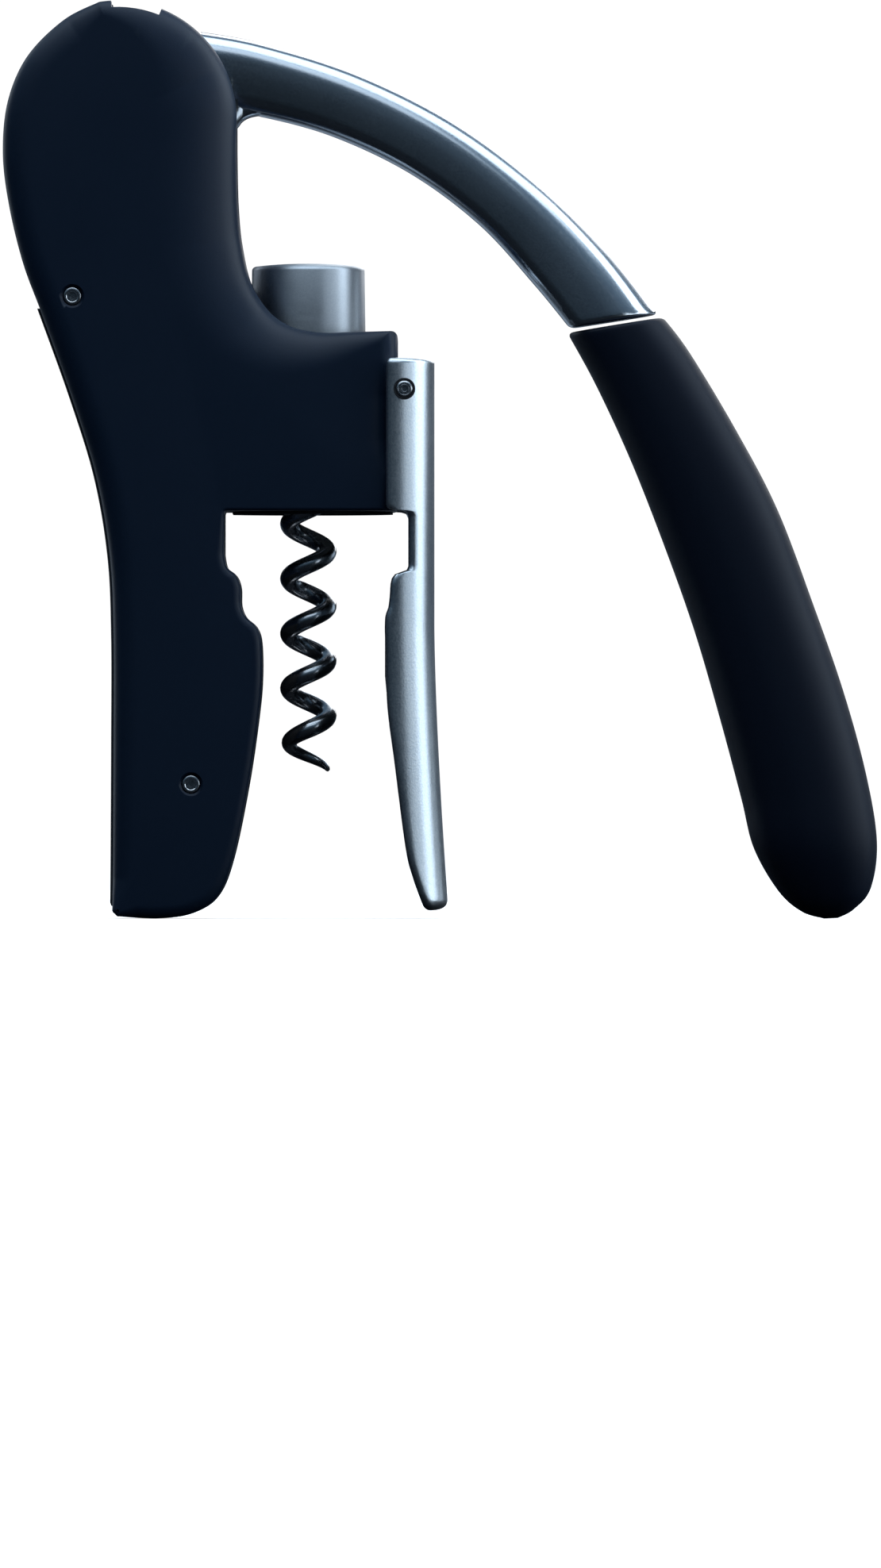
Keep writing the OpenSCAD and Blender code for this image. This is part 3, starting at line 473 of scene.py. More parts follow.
def finish_material(name, colour, fleck, amount, grain, rough, metal=0.0, bump=0.1, bump_size=0.02, mottle=60.0,
                    wear=None, lines=None, ior=1.5, turned=0.0):
    """A material from the shared groups. wear is a colour, an edge range and a strength; lines is a stretch,
    a scale and a strength."""
    mat = bpy.data.materials.new(name)
    mat.use_nodes = True
    tree = mat.node_tree
    shader = tree.nodes["Principled BSDF"]
    where = node(tree, "ShaderNodeTexCoord").outputs["Object"]
    surface = node(tree, "ShaderNodeGroup", node_tree=GRAIN)
    tree.links.new(where, surface.inputs["Position"])
    for key, value in (("Colour", (*colour, 1)), ("Fleck Colour", (*fleck, 1)), ("Fleck Amount", amount),
                       ("Grain Scale", grain), ("Mottle Scale", mottle), ("Rough Low", rough[0]),
                       ("Rough High", rough[1])):
        surface.inputs[key].default_value = value
    tint, height, gloss = surface.outputs["Colour"], surface.outputs["Height"], surface.outputs["Roughness"]
    if lines:
        stretch, scale, strength = lines
        marks = node(tree, "ShaderNodeGroup", node_tree=LINES)
        tree.links.new(where, marks.inputs["Position"])
        marks.inputs["Stretch"].default_value = stretch
        marks.inputs["Scale"].default_value = scale
        height = math_node(tree, "ADD", height, math_node(tree, "MULTIPLY", marks.outputs["Height"], strength))
        gloss = math_node(tree, "ADD", gloss, math_node(tree, "MULTIPLY", marks.outputs["Mask"], 0.08), clamp=True)
    if wear:
        shade, low, high, strength = wear
        rubbed = node(tree, "ShaderNodeGroup", node_tree=WEAR)
        tree.links.new(where, rubbed.inputs["Position"])
        rubbed.inputs["Low"].default_value, rubbed.inputs["High"].default_value = low, high
        tint = colour_mix(tree, math_node(tree, "MULTIPLY", rubbed.outputs["Mask"], strength), tint, (*shade, 1))
    tree.links.new(tint, shader.inputs["Base Color"])
    tree.links.new(gloss, shader.inputs["Roughness"])
    relief = node(tree, "ShaderNodeBump", {"Height": height, "Strength": bump, "Distance": bump_size * MM})
    tree.links.new(relief.outputs["Normal"], shader.inputs["Normal"])
    shader.inputs["Metallic"].default_value = metal
    shader.inputs["IOR"].default_value = ior
    if turned:
        shader.inputs["Anisotropic"].default_value = turned
        shader.inputs["Anisotropic Rotation"].default_value = 0.25
        tangent = node(tree, "ShaderNodeTangent", direction_type="RADIAL", axis="Z")
        tree.links.new(tangent.outputs["Tangent"], shader.inputs["Tangent"])
    return mat


M = {
    "housing": finish_material("soft_touch_navy", (0.004, 0.0135, 0.034), (0.0055, 0.018, 0.044), 0.6, 5200,
                               (0.4, 0.48), bump=0.12, bump_size=0.03, mottle=35, ior=1.38,
                               wear=((0.02, 0.035, 0.055), 0.53, 0.6, 0.5)),
    "grip_skin": finish_material("grip_skin_matt", (0.0024, 0.0062, 0.0165), (0.0034, 0.0085, 0.022), 0.5, 6500,
                                 (0.5, 0.58), bump=0.1, bump_size=0.02, mottle=30, ior=1.27),
    "spine_rubber": finish_material("back_strip_rubber", (0.008, 0.012, 0.02), (0.013, 0.019, 0.03), 0.5, 4200,
                                    (0.55, 0.66), bump=0.2, bump_size=0.03),
    "pad_rubber": finish_material("pad_rubber_matt", (0.011, 0.013, 0.017), (0.02, 0.023, 0.028), 0.6, 2600,
                                  (0.6, 0.75), bump=0.35, bump_size=0.05),
    "barrel_plastic": finish_material("barrel_moulded", (0.018, 0.022, 0.03), (0.024, 0.029, 0.038), 0.4, 2500,
                                      (0.3, 0.4), bump=0.1, lines=((1, 1, 14), 160, 0.3)),
    "core_plastic": finish_material("core_moulded", (0.012, 0.014, 0.018), (0.02, 0.023, 0.029), 0.5, 3000,
                                    (0.45, 0.55), bump=0.2),
    "nut_plastic": finish_material("natural_acetal", (0.62, 0.6, 0.54), (0.7, 0.68, 0.62), 0.4, 1800, (0.32, 0.42),
                                   bump=0.12, lines=((1, 1, 20), 120, 0.3)),
    "bush_brass": finish_material("turned_brass", (0.62, 0.43, 0.19), (0.72, 0.54, 0.28), 0.4, 2500, (0.26, 0.38),
                                  metal=1.0, bump=0.12, lines=((1, 18, 1), 150, 0.6)),
    "satin_metal": finish_material("satin_chrome", (0.6, 0.65, 0.72), (0.8, 0.84, 0.88), 0.6, 4200, (0.17, 0.24),
                                   metal=1.0, bump=0.12, bump_size=0.02, mottle=45,
                                   wear=((0.88, 0.9, 0.92), 0.54, 0.64, 0.7)),
    "blasted_metal": finish_material("blasted_chrome", (0.56, 0.63, 0.7), (0.84, 0.88, 0.91), 0.75, 3300, (0.3, 0.38),
                                     metal=1.0, bump=0.2, bump_size=0.03, mottle=45,
                                     wear=((0.88, 0.9, 0.92), 0.54, 0.64, 0.7)),
    "turned_metal": finish_material("turned_satin_chrome", (0.62, 0.67, 0.73), (0.82, 0.86, 0.9), 0.5, 3600,
                                    (0.4, 0.48), metal=1.0, bump=0.12, bump_size=0.02, mottle=45, turned=0.7,
                                    lines=((1, 1, 16), 260, 0.4)),
    "gear_steel": finish_material("machined_steel", (0.3, 0.31, 0.33), (0.42, 0.43, 0.45), 0.5, 2200, (0.3, 0.42),
                                  metal=1.0, bump=0.18, lines=((14, 1, 1), 220, 0.7),
                                  wear=((0.6, 0.61, 0.63), 0.53, 0.62, 0.7)),
    "carriage_metal": finish_material("cast_alloy", (0.42, 0.43, 0.45), (0.5, 0.51, 0.53), 0.6, 1800, (0.38, 0.5),
                                      metal=1.0, bump=0.3, bump_size=0.04),
    "fastener_steel": finish_material("plated_fastener", (0.62, 0.64, 0.67), (0.74, 0.76, 0.78), 0.4, 3000,
                                      (0.16, 0.26), metal=1.0, bump=0.1, lines=((1, 16, 1), 260, 0.5)),
    "spring_steel": finish_material("drawn_spring_steel", (0.34, 0.35, 0.37), (0.45, 0.46, 0.48), 0.4, 3000,
                                    (0.25, 0.35), metal=1.0, bump=0.1, lines=((1, 1, 12), 300, 0.5)),
    "worm_steel": finish_material("polished_worm", (0.5, 0.52, 0.55), (0.58, 0.6, 0.63), 0.4, 2400, (0.14, 0.24),
                                  metal=1.0, bump=0.08, lines=((1, 1, 4), 300, 0.4),
                                  wear=((0.75, 0.77, 0.8), 0.56, 0.66, 0.5)),
}

# Every CAD node takes its slot's finish; the pieces below stand in for some of them
for entry in frame["record"]["subparts"]:
    mesh = frame["nodes"][entry["node"]].data
    mesh.materials.clear()
    mesh.materials.append(M[entry["material_slot"]])


# ---------- housing ----------

def shell_outline():
    """The housing's outline a hair inside the CAD's, with the edge radius wanted at each point."""
    heel = curve_through(HEEL_KEYS, 10)
    heel_r = np.interp(np.arange(len(heel)), [0, 35, 45, len(heel)], [1.6, 1.6, 1.15, 1.15])
    under = np.vstack([[(-13.6, BLOCK_LIFT)], arc((BLOCK_FRONT - 0.7, BLOCK_LIFT + 0.7), 0.7, -90, 0, 6)])
    front = arc((BLOCK_FRONT - 1.2, BLOCK_TOP - 1.2), 1.2, 0, 90, 8)
    shoulder = curve_through(SHOULDER_KEYS, 12)
    head = arc(PIVOT, HEAD_R, 0, 96, 70)[1:]
    back = curve_through(BACK_KEYS, 10)
    stretches = [(heel, heel_r), (under, np.full(len(under), 0.5)),
                 (np.array([(BLOCK_FRONT, 3.5), (BLOCK_FRONT, 26.0)]), np.full(2, 3.3)),
                 (front, np.full(len(front), 1.0)),
                 (shoulder, np.interp(np.arange(len(shoulder)), [0, 20, 50], [4.4, 5, 6])),
                 (head, np.interp(np.arange(len(head)), [0, 40, 70], [6, 6, 3.6])),
                 (back, np.interp(np.arange(len(back)), [0, 20, 120, 140], [3.2, 2.8, 2.6, 1.8]))]
    points = np.vstack([s[0] for s in stretches])
    radii = np.concatenate([s[1] for s in stretches])
    points, radii = respaced(points, 0.35, radii)
    return points - SKIN_GAP * edge_normals(points), radii


outline, edge_r = shell_outline()
body = rounded_prism("shell_body", outline, -HALF_W, 1.0, edge_r, arc_steps=12, spread=0.2)
lug = across("lug", CLAMP_PIN, LUG_R, -LUG_HALF, 1.0)
lug_root = box_tool((BLOCK_FRONT - 3, -LUG_HALF, CLAMP_PIN[1] - LUG_R), (CLAMP_PIN[0], 1.0, CLAMP_PIN[1] + LUG_R))
shaped(body, "UNION", [lug, lug_root])
far_body = mirrored(body, "housing_far")
near_body = body
near_body.name = "housing_near"
for obj, cad in ((near_body, "near_shell"), (far_body, "far_shell")):
    shaped(obj, "INTERSECT", [cad_copy(cad)])
    finished(obj, M["housing"], "housing", "housing", cad, angle=28)


def spine_outline():
    """Strip let into the housing's back, its rear edge standing a little proud."""
    back = np.array([p for p in curve_through(BACK_KEYS, 12) if -HEEL + 2 < p[1] < STRIP_TOP])
    first = np.array([[back[0][0] - (STRIP_TOP - back[0][1]) * 0.34, STRIP_TOP]])
    edge = np.vstack([first, back])
    outer, inner = edge + [-0.42, 0], edge[::-1] + [2.6, 0]
    return respaced(np.vstack([outer, inner]), 0.8)[0]


strip = rounded_prism("back_strip", spine_outline(), -STRIP_HALF, STRIP_HALF, 0.5, 0.5, arc_steps=4)
finished(strip, M["spine_rubber"], "housing", "spine_rubber", "back_spine")


# ---------- lever ----------

def whole_section(half, sides):
    """A closed section from half of it."""
    right = curve_through(half, 12)
    return evenly(np.vstack([right, (right[::-1] * [-1, 1])[1:-1]]), sides)[0]


def lever_piece(name, stations, sections, round_start, round_end, inset=0.04, steps=12, sides=72):
    """A piece of the lever, lofted through its stations from one section to another, with rounded ends."""
    line = curve_through(stations, steps)
    mid = (line[:, 0:2] + line[:, 2:4]) / 2
    along = lengths_along(mid)
    total = along[-1]
    at = list(along)
    for k in range(1, 8):
        a = math.radians(90 * k / 8)
        if round_start:
            at.append(round_start * (1 - math.cos(a)))
        if round_end:
            at.append(total - round_end * (1 - math.cos(a)))
    at = sorted(a for a in set(at) if 0 <= a <= total)
    first, last = (whole_section(half, sides) for half in sections)
    rings = []
    for s in at:
        st = np.array([np.interp(s, along, line[:, i]) for i in range(5)])
        draw = inset
        for r, q in ((round_start, s), (round_end, total - s)):
            if r and q < r:
                draw += r - math.sqrt(max(r * r - (r - q) ** 2, 0))
        top, low = PIVOT + st[0:2], PIVOT + st[2:4]
        centre, rise = (top + low) / 2, (top - low) / 2
        reach = np.linalg.norm(rise)
        rise = rise * max(reach - draw, 0.05) / reach
        half = max(st[4] - draw, 0.05)
        share = s / total
        rings.append([(centre[0] + rise[0] * v, half * w, centre[1] + rise[1] * v)
                      for w, v in first * (1 - share) + last * share])
    return ring_mesh(name, rings)


arm = lever_piece("arm", ARM_STATIONS, (ARM_ROOT_SECTION, ARM_SECTION), 0.0, 0.9)


def fork_cheeks():
    """The fork's two cheeks: a round boss and a wider sector."""
    plates = []
    for side in (-1, 1):
        low, high = sorted((side * GEAR_GAP_HALF, side * FORK_HALF))
        hub = rounded_prism("hub", PIVOT + arc((0, 0), CHEEK_HUB_R, 0, 355, 71), low, high, 0.4, 0.4, arc_steps=3)
        wide = np.vstack([arc((0, 0), CHEEK_SECTOR_R, -5, 125, 60), [(0, 0)]])
        sector = rounded_prism("sector", PIVOT + respaced(wide, 0.6)[0], low, high, 0.4, 0.4, arc_steps=3)
        plates.append(shaped(hub, "UNION", [sector]))
    return plates


def root_web():
    """The web under the arm's root: a fillet into the arm and a slanted facet on each side."""
    fillet = curve_through([(17, -3.2), (19.3, -1.2), (20.2, -0.1), (21.6, 0.62), (23.6, 0.86), (26.5, 0.45)], 8)
    outline = PIVOT + respaced(np.vstack([fillet, [(26.5, 5), (17, 8)]]), 0.35)[0]
    plate = rounded_prism("web", outline, -5.0, 5.0, 0.8, 0.8, arc_steps=4)
    bm = bmesh.new()
    for x, y, z in ((14, 5.88, 9.5), (18.4, 5.88, 7), (18.4, 5.88, -1.2), (14, 5.88, -3.5), (21.5, 4.4, 2.2),
                    (20.1, 4.9, 0.3), (19.3, 5.1, -0.9)):
        for side in (-1, 1):
            bm.verts.new(((PIVOT[0] + x) * MM, side * y * MM, (PIVOT[1] + z) * MM))
    bmesh.ops.convex_hull(bm, input=bm.verts)
    mesh = bpy.data.meshes.new("facet")
    bm.to_mesh(mesh)
    bm.free()
    facet = bpy.data.objects.new("facet", mesh)
    bpy.context.scene.collection.objects.link(facet)
    return [plate, tidied(facet)]


shaped(arm, "UNION", fork_cheeks() + root_web())
gap = rounded_prism("gap", PIVOT + arc((0, 0), GEAR_ROOM_R, 0, 355, 71), -GEAR_GAP_HALF, GEAR_GAP_HALF)
mouth = rounded_prism("mouth", PIVOT + np.array([(0, 0), (21, -11.5), (22.6, -6), (23.2, 0), (22.4, 7.2), (0, 0.2)]),
                      -GEAR_GAP_HALF, GEAR_GAP_HALF)
bores = [across("bore", PIVOT, SHAFT_BORE_R, -8, 8)]
for angle in PIN_ANGLES:
    spot = PIVOT + PIN_CIRCLE_R * np.array([math.cos(math.radians(angle)), math.sin(math.radians(angle))])
    bores.append(across("bore", spot, PIN_BORE_R, -8, 8, 32))
shaped(arm, "DIFFERENCE", [gap, mouth, *bores])
arm.name = "lever_arm_satin"
finished(arm, M["satin_metal"], "lever", "satin_metal", "lever_arm", angle=35)

grip = lever_piece("grip_soft", GRIP_STATIONS, (GRIP_SECTION, GRIP_SECTION), 0.8, 0.0, steps=10)
finished(grip, M["grip_skin"], "lever", "grip_skin", "lever_grip", angle=60)


# ---------- carriage cap ----------

def cap_profile():
    """Half section of the cap: a faint crown, a rounded rim, a skirt with a little draft, and its hollow."""
    rim = 0.75
    crown = [(0, CAP_TOP)] + [(r, CAP_TOP - 0.45 * (r / (CAP_R - rim)) ** 2.5)
                              for r in np.linspace(1, CAP_R - rim, 10)]
    edge = [(CAP_R - rim + rim * math.sin(a), CAP_TOP - 0.45 - rim + rim * math.cos(a))
            for a in np.radians(np.linspace(12, 90, 8))]
    skirt = [(CAP_R + 0.18, CAP_SKIRT + 0.3), (CAP_R + 0.05, CAP_SKIRT + 0.05), (CAP_R - 0.2, CAP_SKIRT)]
    hollow = [(BOSS_R + 0.2, CAP_SKIRT), (BOSS_R, CAP_SKIRT + 0.2), (BOSS_R, CAP_TOP - 1.4), (0, CAP_TOP - 1.4)]
    return crown + edge + skirt + hollow


cap = lathe("cap_satin", cap_profile(), 128)
shaped(cap, "DIFFERENCE", [box_tool((-20, -RACK_SLOT_HALF, CAP_SKIRT - 1), (-4, RACK_SLOT_HALF, RACK_SLOT_TOP))])
finished(cap, M["turned_metal"], "carriage", "satin_metal", "carriage_cap")


# ---------- clamp ----------

CLAMP_EDGE = [(CLAMP_TOP, 12.8), (1.5, 12.8), (1.0, 12.95), (0.7, 13.5), (0.6, 14.2), (0.55, 15.2), (0.3, 16.0),
              (-0.4, 16.35), (-1.0, 16.4), (-8.6, 16.4), (-9.2, 16.15), (-9.5, 15.3), (-9.9, 14.2), (-10.6, 13.7)]
CHEEK_KEYS = [(13.5, -11.5), (13.2, -15), (12.6, -17.4), (12.7, -23), (13, -31.7), (14.1, -0.61 * HEEL),
              (15.9, -0.82 * HEEL), (17.2, -0.9 * HEEL), (19.1, CLAMP_BOTTOM)]


def clamp_levels():
    """Heights of the clamp's rings, with the edge of its cheeks at each."""
    edge = CLAMP_EDGE + [(z, x) for x, z in curve_through(CHEEK_KEYS, 8)]
    heights = [z for z, _ in edge] + list(np.linspace(CLAMP_TOP, CLAMP_BOTTOM, 60))
    heights += [CLAMP_TOP - q for q in (0.05, 0.15, 0.3, 0.5, 0.75, 0.9)]
    heights += [CLAMP_BOTTOM + q for q in (0.05, 0.15, 0.3, 0.5, 0.75, 0.9, 1.2, 1.6, 2.0)]
    heights = sorted(set(round(h, 3) for h in heights), reverse=True)
    zs, xs = np.array([z for z, _ in edge])[::-1], np.array([x for _, x in edge])[::-1]
    return [(z, float(np.interp(z, zs, xs))) for z in heights]


def clipped_path(path, from_x, count):
    """The stretch of a U-shaped path in front of from_x, evenly spread."""
    along = lengths_along(path)
    fine = np.linspace(0, along[-1], 4000)
    x = np.interp(fine, along, path[:, 0])
    start = fine[np.argmax(x > from_x)]
    return points_at(path, along, np.linspace(start, along[-1] - start, count))


def clamp_sheet():
    """The clamp's bent sheet: a U in plan that flares at its foot, with rounded edges all round."""
    bend, half, rings = CLAMP_BEND_R, CLAMP_WALL / 2, []
    for z, edge_x in clamp_levels():
        shift = CLAMP_FLARE * max(0.0, (CLAMP_FLARE_FROM - z) / (CLAMP_FLARE_FROM - CLAMP_BOTTOM)) ** 1.5
        for q, r in ((z - CLAMP_BOTTOM, 1.9), (CLAMP_TOP - z, 0.7)):
            if q < r:
                shift -= r - math.sqrt(max(r * r - (r - q) ** 2, 0))
        q = min(CLAMP_TOP - z, z - CLAMP_BOTTOM)
        thick = half if q >= half else max(math.sqrt(max(half ** 2 - (half - q) ** 2, 0)), 0.06)
        cx, cy, r_mid = CLAMP_FRONT + shift - bend, CLAMP_OUTER - bend, bend - half
        whole = [(0.0, -(cy + r_mid))]
        whole += [(cx + r_mid * math.cos(a), -cy + r_mid * math.sin(a)) for a in np.radians(np.linspace(-90, 0, 25))]
        whole += [(cx + r_mid * math.cos(a), cy + r_mid * math.sin(a)) for a in np.radians(np.linspace(0, 90, 25))]
        path = clipped_path(np.array(whole + [(0.0, cy + r_mid)]), edge_x + half, 80)
        run = np.gradient(path, axis=0)
        run /= np.linalg.norm(run, axis=1)[:, None]
        out = np.stack([run[:, 1], -run[:, 0]], 1)
        ring = [*(path + out * thick)]
        for end, way, side in ((path[-1], run[-1], out[-1]), (path[0], -run[0], -out[0])):
            for a in np.radians(np.linspace(0, 180, 7))[1:-1]:
                ring.append(end + way * math.sin(a) * thick + side * math.cos(a) * thick)
            if len(ring) < 2 * len(path):
                ring += [*(path - out * thick)[::-1]]
        rings.append([(p[0], p[1], z) for p in ring])
    n, verts = len(rings[0]), [p for ring in rings for p in ring]
    faces = [(i * n + j, i * n + (j + 1) % n, (i + 1) * n + (j + 1) % n, (i + 1) * n + j)
             for i in range(len(rings) - 1) for j in range(n)]
    count = (n - 10) // 2
    for base in (0, (len(rings) - 1) * n):
        inner = base + count + 5
        faces += [(base + j, base + j + 1, inner + count - 2 - j, inner + count - 1 - j) for j in range(count - 1)]
        faces.append((base + count - 1, *[base + count + k for k in range(5)], inner))
        faces.append((inner + count - 1, *[inner + count + k for k in range(5)], base))
    return tidied(piece_of("clamp_satin", verts, faces))


clamp = clamp_sheet()
shaped(clamp, "DIFFERENCE", [across("hole", CLAMP_PIN, CLAMP_HOLE_R, *span) for span in ((-25, -10), (10, 25))])
finished(clamp, M["blasted_metal"], "clamp", "satin_metal", "clamp_lever", angle=35)


# ---------- pieces made by rule ----------

def geometry_tree(name, inputs):
    """A new geometry tree with named inputs."""
    tree = bpy.data.node_groups.new(name, "GeometryNodeTree")
    tree.interface.new_socket("Geometry", in_out="INPUT", socket_type="NodeSocketGeometry")
    for label, kind, default in inputs:
        socket = tree.interface.new_socket(label, in_out="INPUT", socket_type=kind)
        if default is not None:
            socket.default_value = default
    tree.interface.new_socket("Geometry", in_out="OUTPUT", socket_type="NodeSocketGeometry")
    return tree, tree.nodes.new("NodeGroupInput"), tree.nodes.new("NodeGroupOutput")


def grown(name, tree, points, **values):
    """A plain mesh from a geometry tree on a few starting points."""
    obj = piece_of(name, points, [])
    step = obj.modifiers.new("rule", "NODES")
    step.node_group = tree
    for item in tree.interface.items_tree:
        if item.item_type == "SOCKET" and item.in_out == "INPUT" and item.name in values:
            step[item.identifier] = values[item.name]
    return applied(obj)


def worm_tree():
    """A wire swept along a helix, ground to a point at its foot."""
    tree, given, out = geometry_tree("wound_wire", [
        ("Turns", FLOAT, 6.0), ("Height", FLOAT, 0.05), ("Helix Radius", FLOAT, 0.003),
        ("Wire Radius", FLOAT, 0.001), ("Point Length", FLOAT, 0.009),
        ("Foot", VECTOR, (0, 0, 0)), ("Finish", "NodeSocketMaterial", None)])
    src = given.outputs
    spiral = node(tree, "GeometryNodeCurveSpiral", {"Resolution": 40, "Rotations": src["Turns"],
                                                    "Start Radius": src["Helix Radius"],
                                                    "End Radius": src["Helix Radius"], "Height": src["Height"],
                                                    "Reverse": True})
    height = node(tree, "ShaderNodeSeparateXYZ", {0: node(tree, "GeometryNodeInputPosition").outputs[0]}).outputs["Z"]
    share = math_node(tree, "DIVIDE", height, src["Point Length"])
    scale = math_node(tree, "MINIMUM", 1.0, math_node(tree, "ADD", 0.12, math_node(
        tree, "SQRT", math_node(tree, "MAXIMUM", share, 0.0))))
    circle = node(tree, "GeometryNodeCurvePrimitiveCircle", {"Resolution": 20})
    tree.links.new(src["Wire Radius"], circle.inputs["Radius"])
    sweep = tree.nodes.new("GeometryNodeCurveToMesh")
    tree.links.new(scale, sweep.inputs["Scale"])
    tree.links.new(spiral.outputs[0], sweep.inputs["Curve"])
    tree.links.new(circle.outputs[0], sweep.inputs["Profile Curve"])
    sweep.inputs["Fill Caps"].default_value = True
    placed = node(tree, "GeometryNodeTransform", {"Geometry": sweep.outputs[0], "Translation": src["Foot"]})
    real = node(tree, "GeometryNodeRealizeInstances", {"Geometry": placed.outputs[0]})
    coated = node(tree, "GeometryNodeSetMaterial", {"Geometry": real.outputs[0], "Material": src["Finish"]})
    tree.links.new(coated.outputs[0], out.inputs[0])
    return tree


def row_tree():
    """One template set on each starting point."""
    tree, given, out = geometry_tree("set_on_points", [
        ("Template", "NodeSocketObject", None), ("Turn", VECTOR, (0, 0, 0)),
        ("Finish", "NodeSocketMaterial", None)])
    src = given.outputs
    shape = node(tree, "GeometryNodeObjectInfo", {"Object": src["Template"]})
    placed = node(tree, "GeometryNodeInstanceOnPoints", {"Points": src["Geometry"],
                                                         "Instance": shape.outputs["Geometry"]})
    turn = node(tree, "FunctionNodeEulerToRotation", {0: src["Turn"]})
    tree.links.new(turn.outputs[0], placed.inputs["Rotation"])
    real = node(tree, "GeometryNodeRealizeInstances", {"Geometry": placed.outputs[0]})
    coated = node(tree, "GeometryNodeSetMaterial", {"Geometry": real.outputs[0], "Material": src["Finish"]})
    tree.links.new(coated.outputs[0], out.inputs[0])
    return tree


def worm_pieces():
    """The wound wire and its turned shank, as one piece."""
    height = WORM["top"] + WORM["depth"]
    wire = grown("worm_wire", worm_tree(), [(0, 0, 0)], **{
        "Turns": height / WORM["pitch"], "Height": height * MM, "Helix Radius": WORM["helix_r"] * MM,
        "Wire Radius": WORM["wire_r"] * MM, "Point Length": WORM["point"] * MM,
        "Foot": (0.0, 0.0, -WORM["depth"] * MM), "Finish": M["worm_steel"]})
    top, s, root = WORM["top"], WORM["shank_r"], WORM["helix_r"] + WORM["wire_r"] + 0.18
    profile = [(0, top - 2.2), (root - 0.3, top - 2.2), (root, top - 1.9), (root, top - 0.5), (root - 0.4, top),
               (s + 0.4, top + 1.8), (s, top + 2.4), (s, 29.5), (s + 1.5, 29.5), (s + 1.5, 30.5), (s, 30.5),
               (s, 37.32), (s - 0.5, 37.32), (s - 0.5, 38.08), (s, 38.08), (s, 38.9), (s - 0.25, 39.25), (0, 39.25)]
    return merged("worm_polished", [tidied(wire), lathe("shank", profile, SMALL_SIDES)])


worm = worm_pieces()
finished(worm, M["worm_steel"], "worm", "worm_steel", "worm", angle=40)


def fastener(name, head_r, shank_r, length, sleeve):
    """A headed fastener along Z, its head upwards at zero, with a dished face and a hex socket.

    sleeve is the radius of the hollow a sleeve nut has in its shank, and zero for a screw."""
    head = [(0, -0.12), (head_r * 0.62, -0.12), (head_r * 0.7, -0.02), (head_r - 0.25, 0), (head_r - 0.06, -0.08),
            (head_r, -0.25), (head_r, -HEAD_H), (shank_r, -HEAD_H)]
    if sleeve:
        end = [(shank_r, -length), (sleeve, -length), (sleeve, -SLEEVE_TOP), (0, -SLEEVE_TOP)]
    else:
        end = [(shank_r, -length + 0.2), (shank_r - 0.2, -length), (0, -length)]
    shape = lathe(name, head + end, SMALL_SIDES)
    hexagon = [(SOCKET_R * math.cos(a), SOCKET_R * math.sin(a)) for a in np.radians(np.arange(0, 360, 60))]
    socket = tidied(piece_of("socket", [(x, y, z) for z in (-SOCKET_DEPTH, 0.5) for x, y in hexagon],
                             [tuple(range(5, -1, -1)), tuple(range(6, 12))]
                             + [(i, (i + 1) % 6, 6 + (i + 1) % 6, 6 + i) for i in range(6)]))
    return shaped(shape, "DIFFERENCE", [socket])


set_on_points = row_tree()
for name, cad, side, length, shank, sleeve in (("housing_screws", "shell_screws", -1, 31.4, 0.9, 0.0),
                                               ("housing_sleeve_nuts", "shell_nuts", 1, 8.7, 1.2, 0.92)):
    template = fastener("template", SCREW_HEAD_R, shank, length, sleeve)
    row = grown(name, set_on_points, [(x, side * (HALF_W - SCREW_SINK), z) for x, z in SCREWS_AT], Template=template,
                Turn=(-side * math.pi / 2, 0.0, 0.0), Finish=M["fastener_steel"])
    remove(template)
    finished(tidied(row), M["fastener_steel"], "housing", "fastener_steel", cad)

pin_half = [(0, 19.3), (0.42, 19.3), (0.5, 19.62), (0.72, 19.62), (0.78, 19.5), (0.98, 19.5), (1.05, 19.66),
            (1.22, 19.62), (1.34, 19.5), (1.38, 19.3)]
pin_profile = [(r, -y) for r, y in pin_half] + pin_half[::-1]
pin = lathe("clamp_pin_bright", pin_profile, SMALL_SIDES)
pin_place = Matrix.Translation((CLAMP_PIN[0] * MM, 0, CLAMP_PIN[1] * MM))
pin.data.transform(pin_place @ Matrix.Rotation(math.pi / 2, 4, "X"))
finished(pin, M["fastener_steel"], "housing", "fastener_steel", "clamp_pin")


# ---------- floor, lights and camera ----------

def floor_material():
    """A pale floor for the camera, dark in front and grey behind for what reflects it."""
    mat = bpy.data.materials.new("studio_floor")
    mat.use_nodes = True
    tree = mat.node_tree
    shader = tree.nodes["Principled BSDF"]
    shader.inputs["Roughness"].default_value = 0.8
    shader.inputs["Specular IOR Level"].default_value = 0.1
    shader.inputs["Emission Color"].default_value = (1, 1, 1, 1)
    seen = node(tree, "ShaderNodeLightPath").outputs["Is Camera Ray"]
    where = node(tree, "ShaderNodeTexCoord").outputs["Object"]
    reach = node(tree, "ShaderNodeVectorMath", {0: where}, operation="LENGTH").outputs["Value"]
    glow = node(tree, "ShaderNodeMapRange", {"Value": reach, "From Min": 0.15, "From Max": 0.9, "To Min": 0.7,
                                             "To Max": 1.0})
    tree.links.new(math_node(tree, "MULTIPLY", seen, glow.outputs[0]), shader.inputs["Emission Strength"])
    behind = node(tree, "ShaderNodeMapRange", {"Value": node(tree, "ShaderNodeSeparateXYZ", {0: where}).outputs["Y"],
                                               "From Min": 0.1, "From Max": 0.6}).outputs[0]
    bounce = colour_mix(tree, behind, (0.004, 0.005, 0.007, 1), (0.35, 0.38, 0.42, 1))
    shade = colour_mix(tree, seen, bounce, (0.8, 0.8, 0.8, 1))
    tree.links.new(shade, shader.inputs["Base Color"])
    return mat


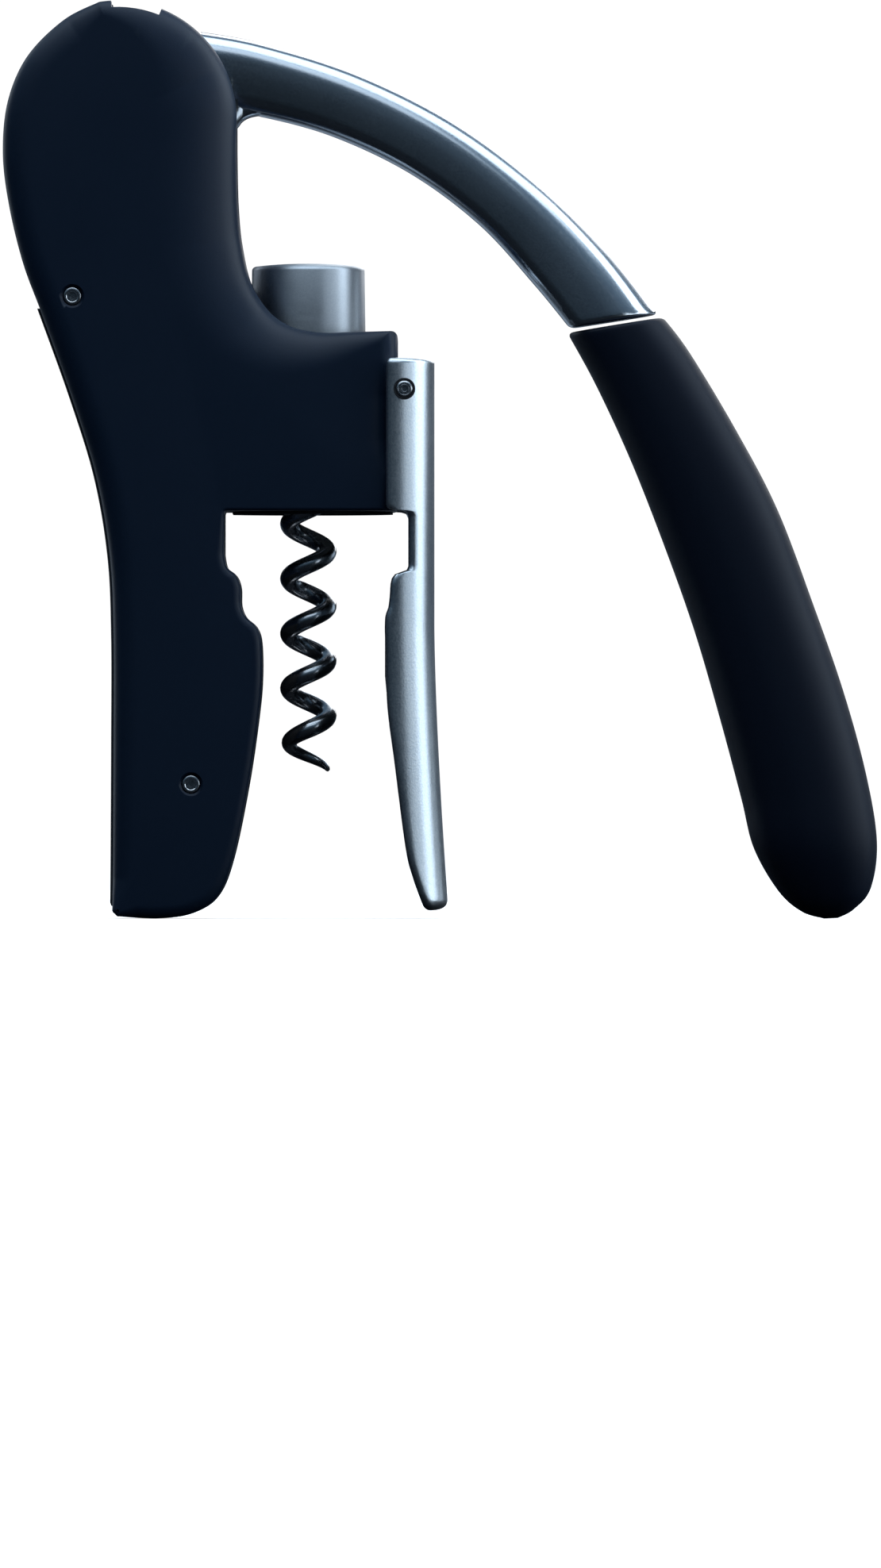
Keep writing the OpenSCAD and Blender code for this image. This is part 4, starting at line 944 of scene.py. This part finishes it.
FLOOR_HALF = 4000
floor = piece_of("floor", [(-FLOOR_HALF, -FLOOR_HALF, -HEEL), (FLOOR_HALF, -FLOOR_HALF, -HEEL),
                           (FLOOR_HALF, FLOOR_HALF, -HEEL), (-FLOOR_HALF, FLOOR_HALF, -HEEL)],
                 [(0, 1, 2, 3)])
floor.data.materials.append(floor_material())


def softbox(name, at, size, power, tint=(1, 1, 1)):
    """An area lamp aimed at the tool, which the camera doesn't see."""
    lamp = bpy.data.lights.new(name, "AREA")
    lamp.shape, lamp.size, lamp.size_y, lamp.energy, lamp.color = "RECTANGLE", size[0], size[1], power, tint
    obj = bpy.data.objects.new(name, lamp)
    obj.location = at
    obj.rotation_euler = (Vector(AIM) - Vector(at)).to_track_quat("-Z", "Y").to_euler()
    obj.visible_camera = False
    bpy.context.scene.collection.objects.link(obj)


AIM = (0.0, 0.0, 0.01)
BLUISH = (0.78, 0.9, 1)
softbox("overhead", (0.0, -0.12, 0.8), (1.5, 0.75), 6.6, tint=BLUISH)
softbox("upper_right", (0.7, 0.08, 0.5), (0.5, 0.4), 2.0, tint=BLUISH)
softbox("right_side", (0.85, 0.04, 0.0), (0.75, 0.8), 5.0, tint=BLUISH)
softbox("front_top", (-0.05, -0.65, 0.6), (0.7, 0.35), 0.7, tint=BLUISH)
softbox("front_right", (0.62, -0.46, 0.04), (0.6, 0.35), 0.75, tint=BLUISH)
softbox("left_back", (-0.7, 0.5, 0.3), (0.5, 0.8), 2.0, tint=BLUISH)
softbox("far_right", (0.3, 0.85, 0.4), (0.6, 0.6), 2.5)

world = bpy.data.worlds.new("studio")
bpy.context.scene.world = world
world.use_nodes = True
w = world.node_tree
w.nodes.clear()
seen = node(w, "ShaderNodeLightPath").outputs["Is Camera Ray"]
facing = node(w, "ShaderNodeSeparateXYZ", {0: node(w, "ShaderNodeTexCoord").outputs["Generated"]}).outputs["Z"]
level = node(w, "ShaderNodeMapRange", {"Value": facing, "From Min": 0.05, "From Max": 0.7, "To Min": 0.02,
                                       "To Max": 0.25})
dim = node(w, "ShaderNodeBackground", {"Color": (0.42, 0.7, 1.0, 1), "Strength": level.outputs[0]})
white = node(w, "ShaderNodeBackground", {"Color": (1, 1, 1, 1), "Strength": 1.05})
either = node(w, "ShaderNodeMixShader", {0: seen, 1: dim.outputs[0], 2: white.outputs[0]})
node(w, "ShaderNodeOutputWorld", {0: either.outputs[0]})
bpy.context.scene.view_settings.view_transform = "Standard"

camera_data = bpy.data.cameras.new("camera")
camera = bpy.data.objects.new("camera", camera_data)
bpy.context.scene.collection.objects.link(camera)
bpy.context.scene.camera = camera
FRAME_TALL = 256.9 * MM
FRAME_CENTRE = (21.7, -44.2)
DISTANCE = 4.0
SHARP_AT = 0.009  # how far in front of the middle plane the framing is exact
SENSOR = 36
camera_data.sensor_width = SENSOR
camera_data.lens = SENSOR * (DISTANCE - SHARP_AT) / FRAME_TALL
camera_data.clip_start, camera_data.clip_end = 0.1, 20
camera.location = (FRAME_CENTRE[0] * MM, -DISTANCE, FRAME_CENTRE[1] * MM)
camera.rotation_euler = (math.pi / 2, 0, 0)
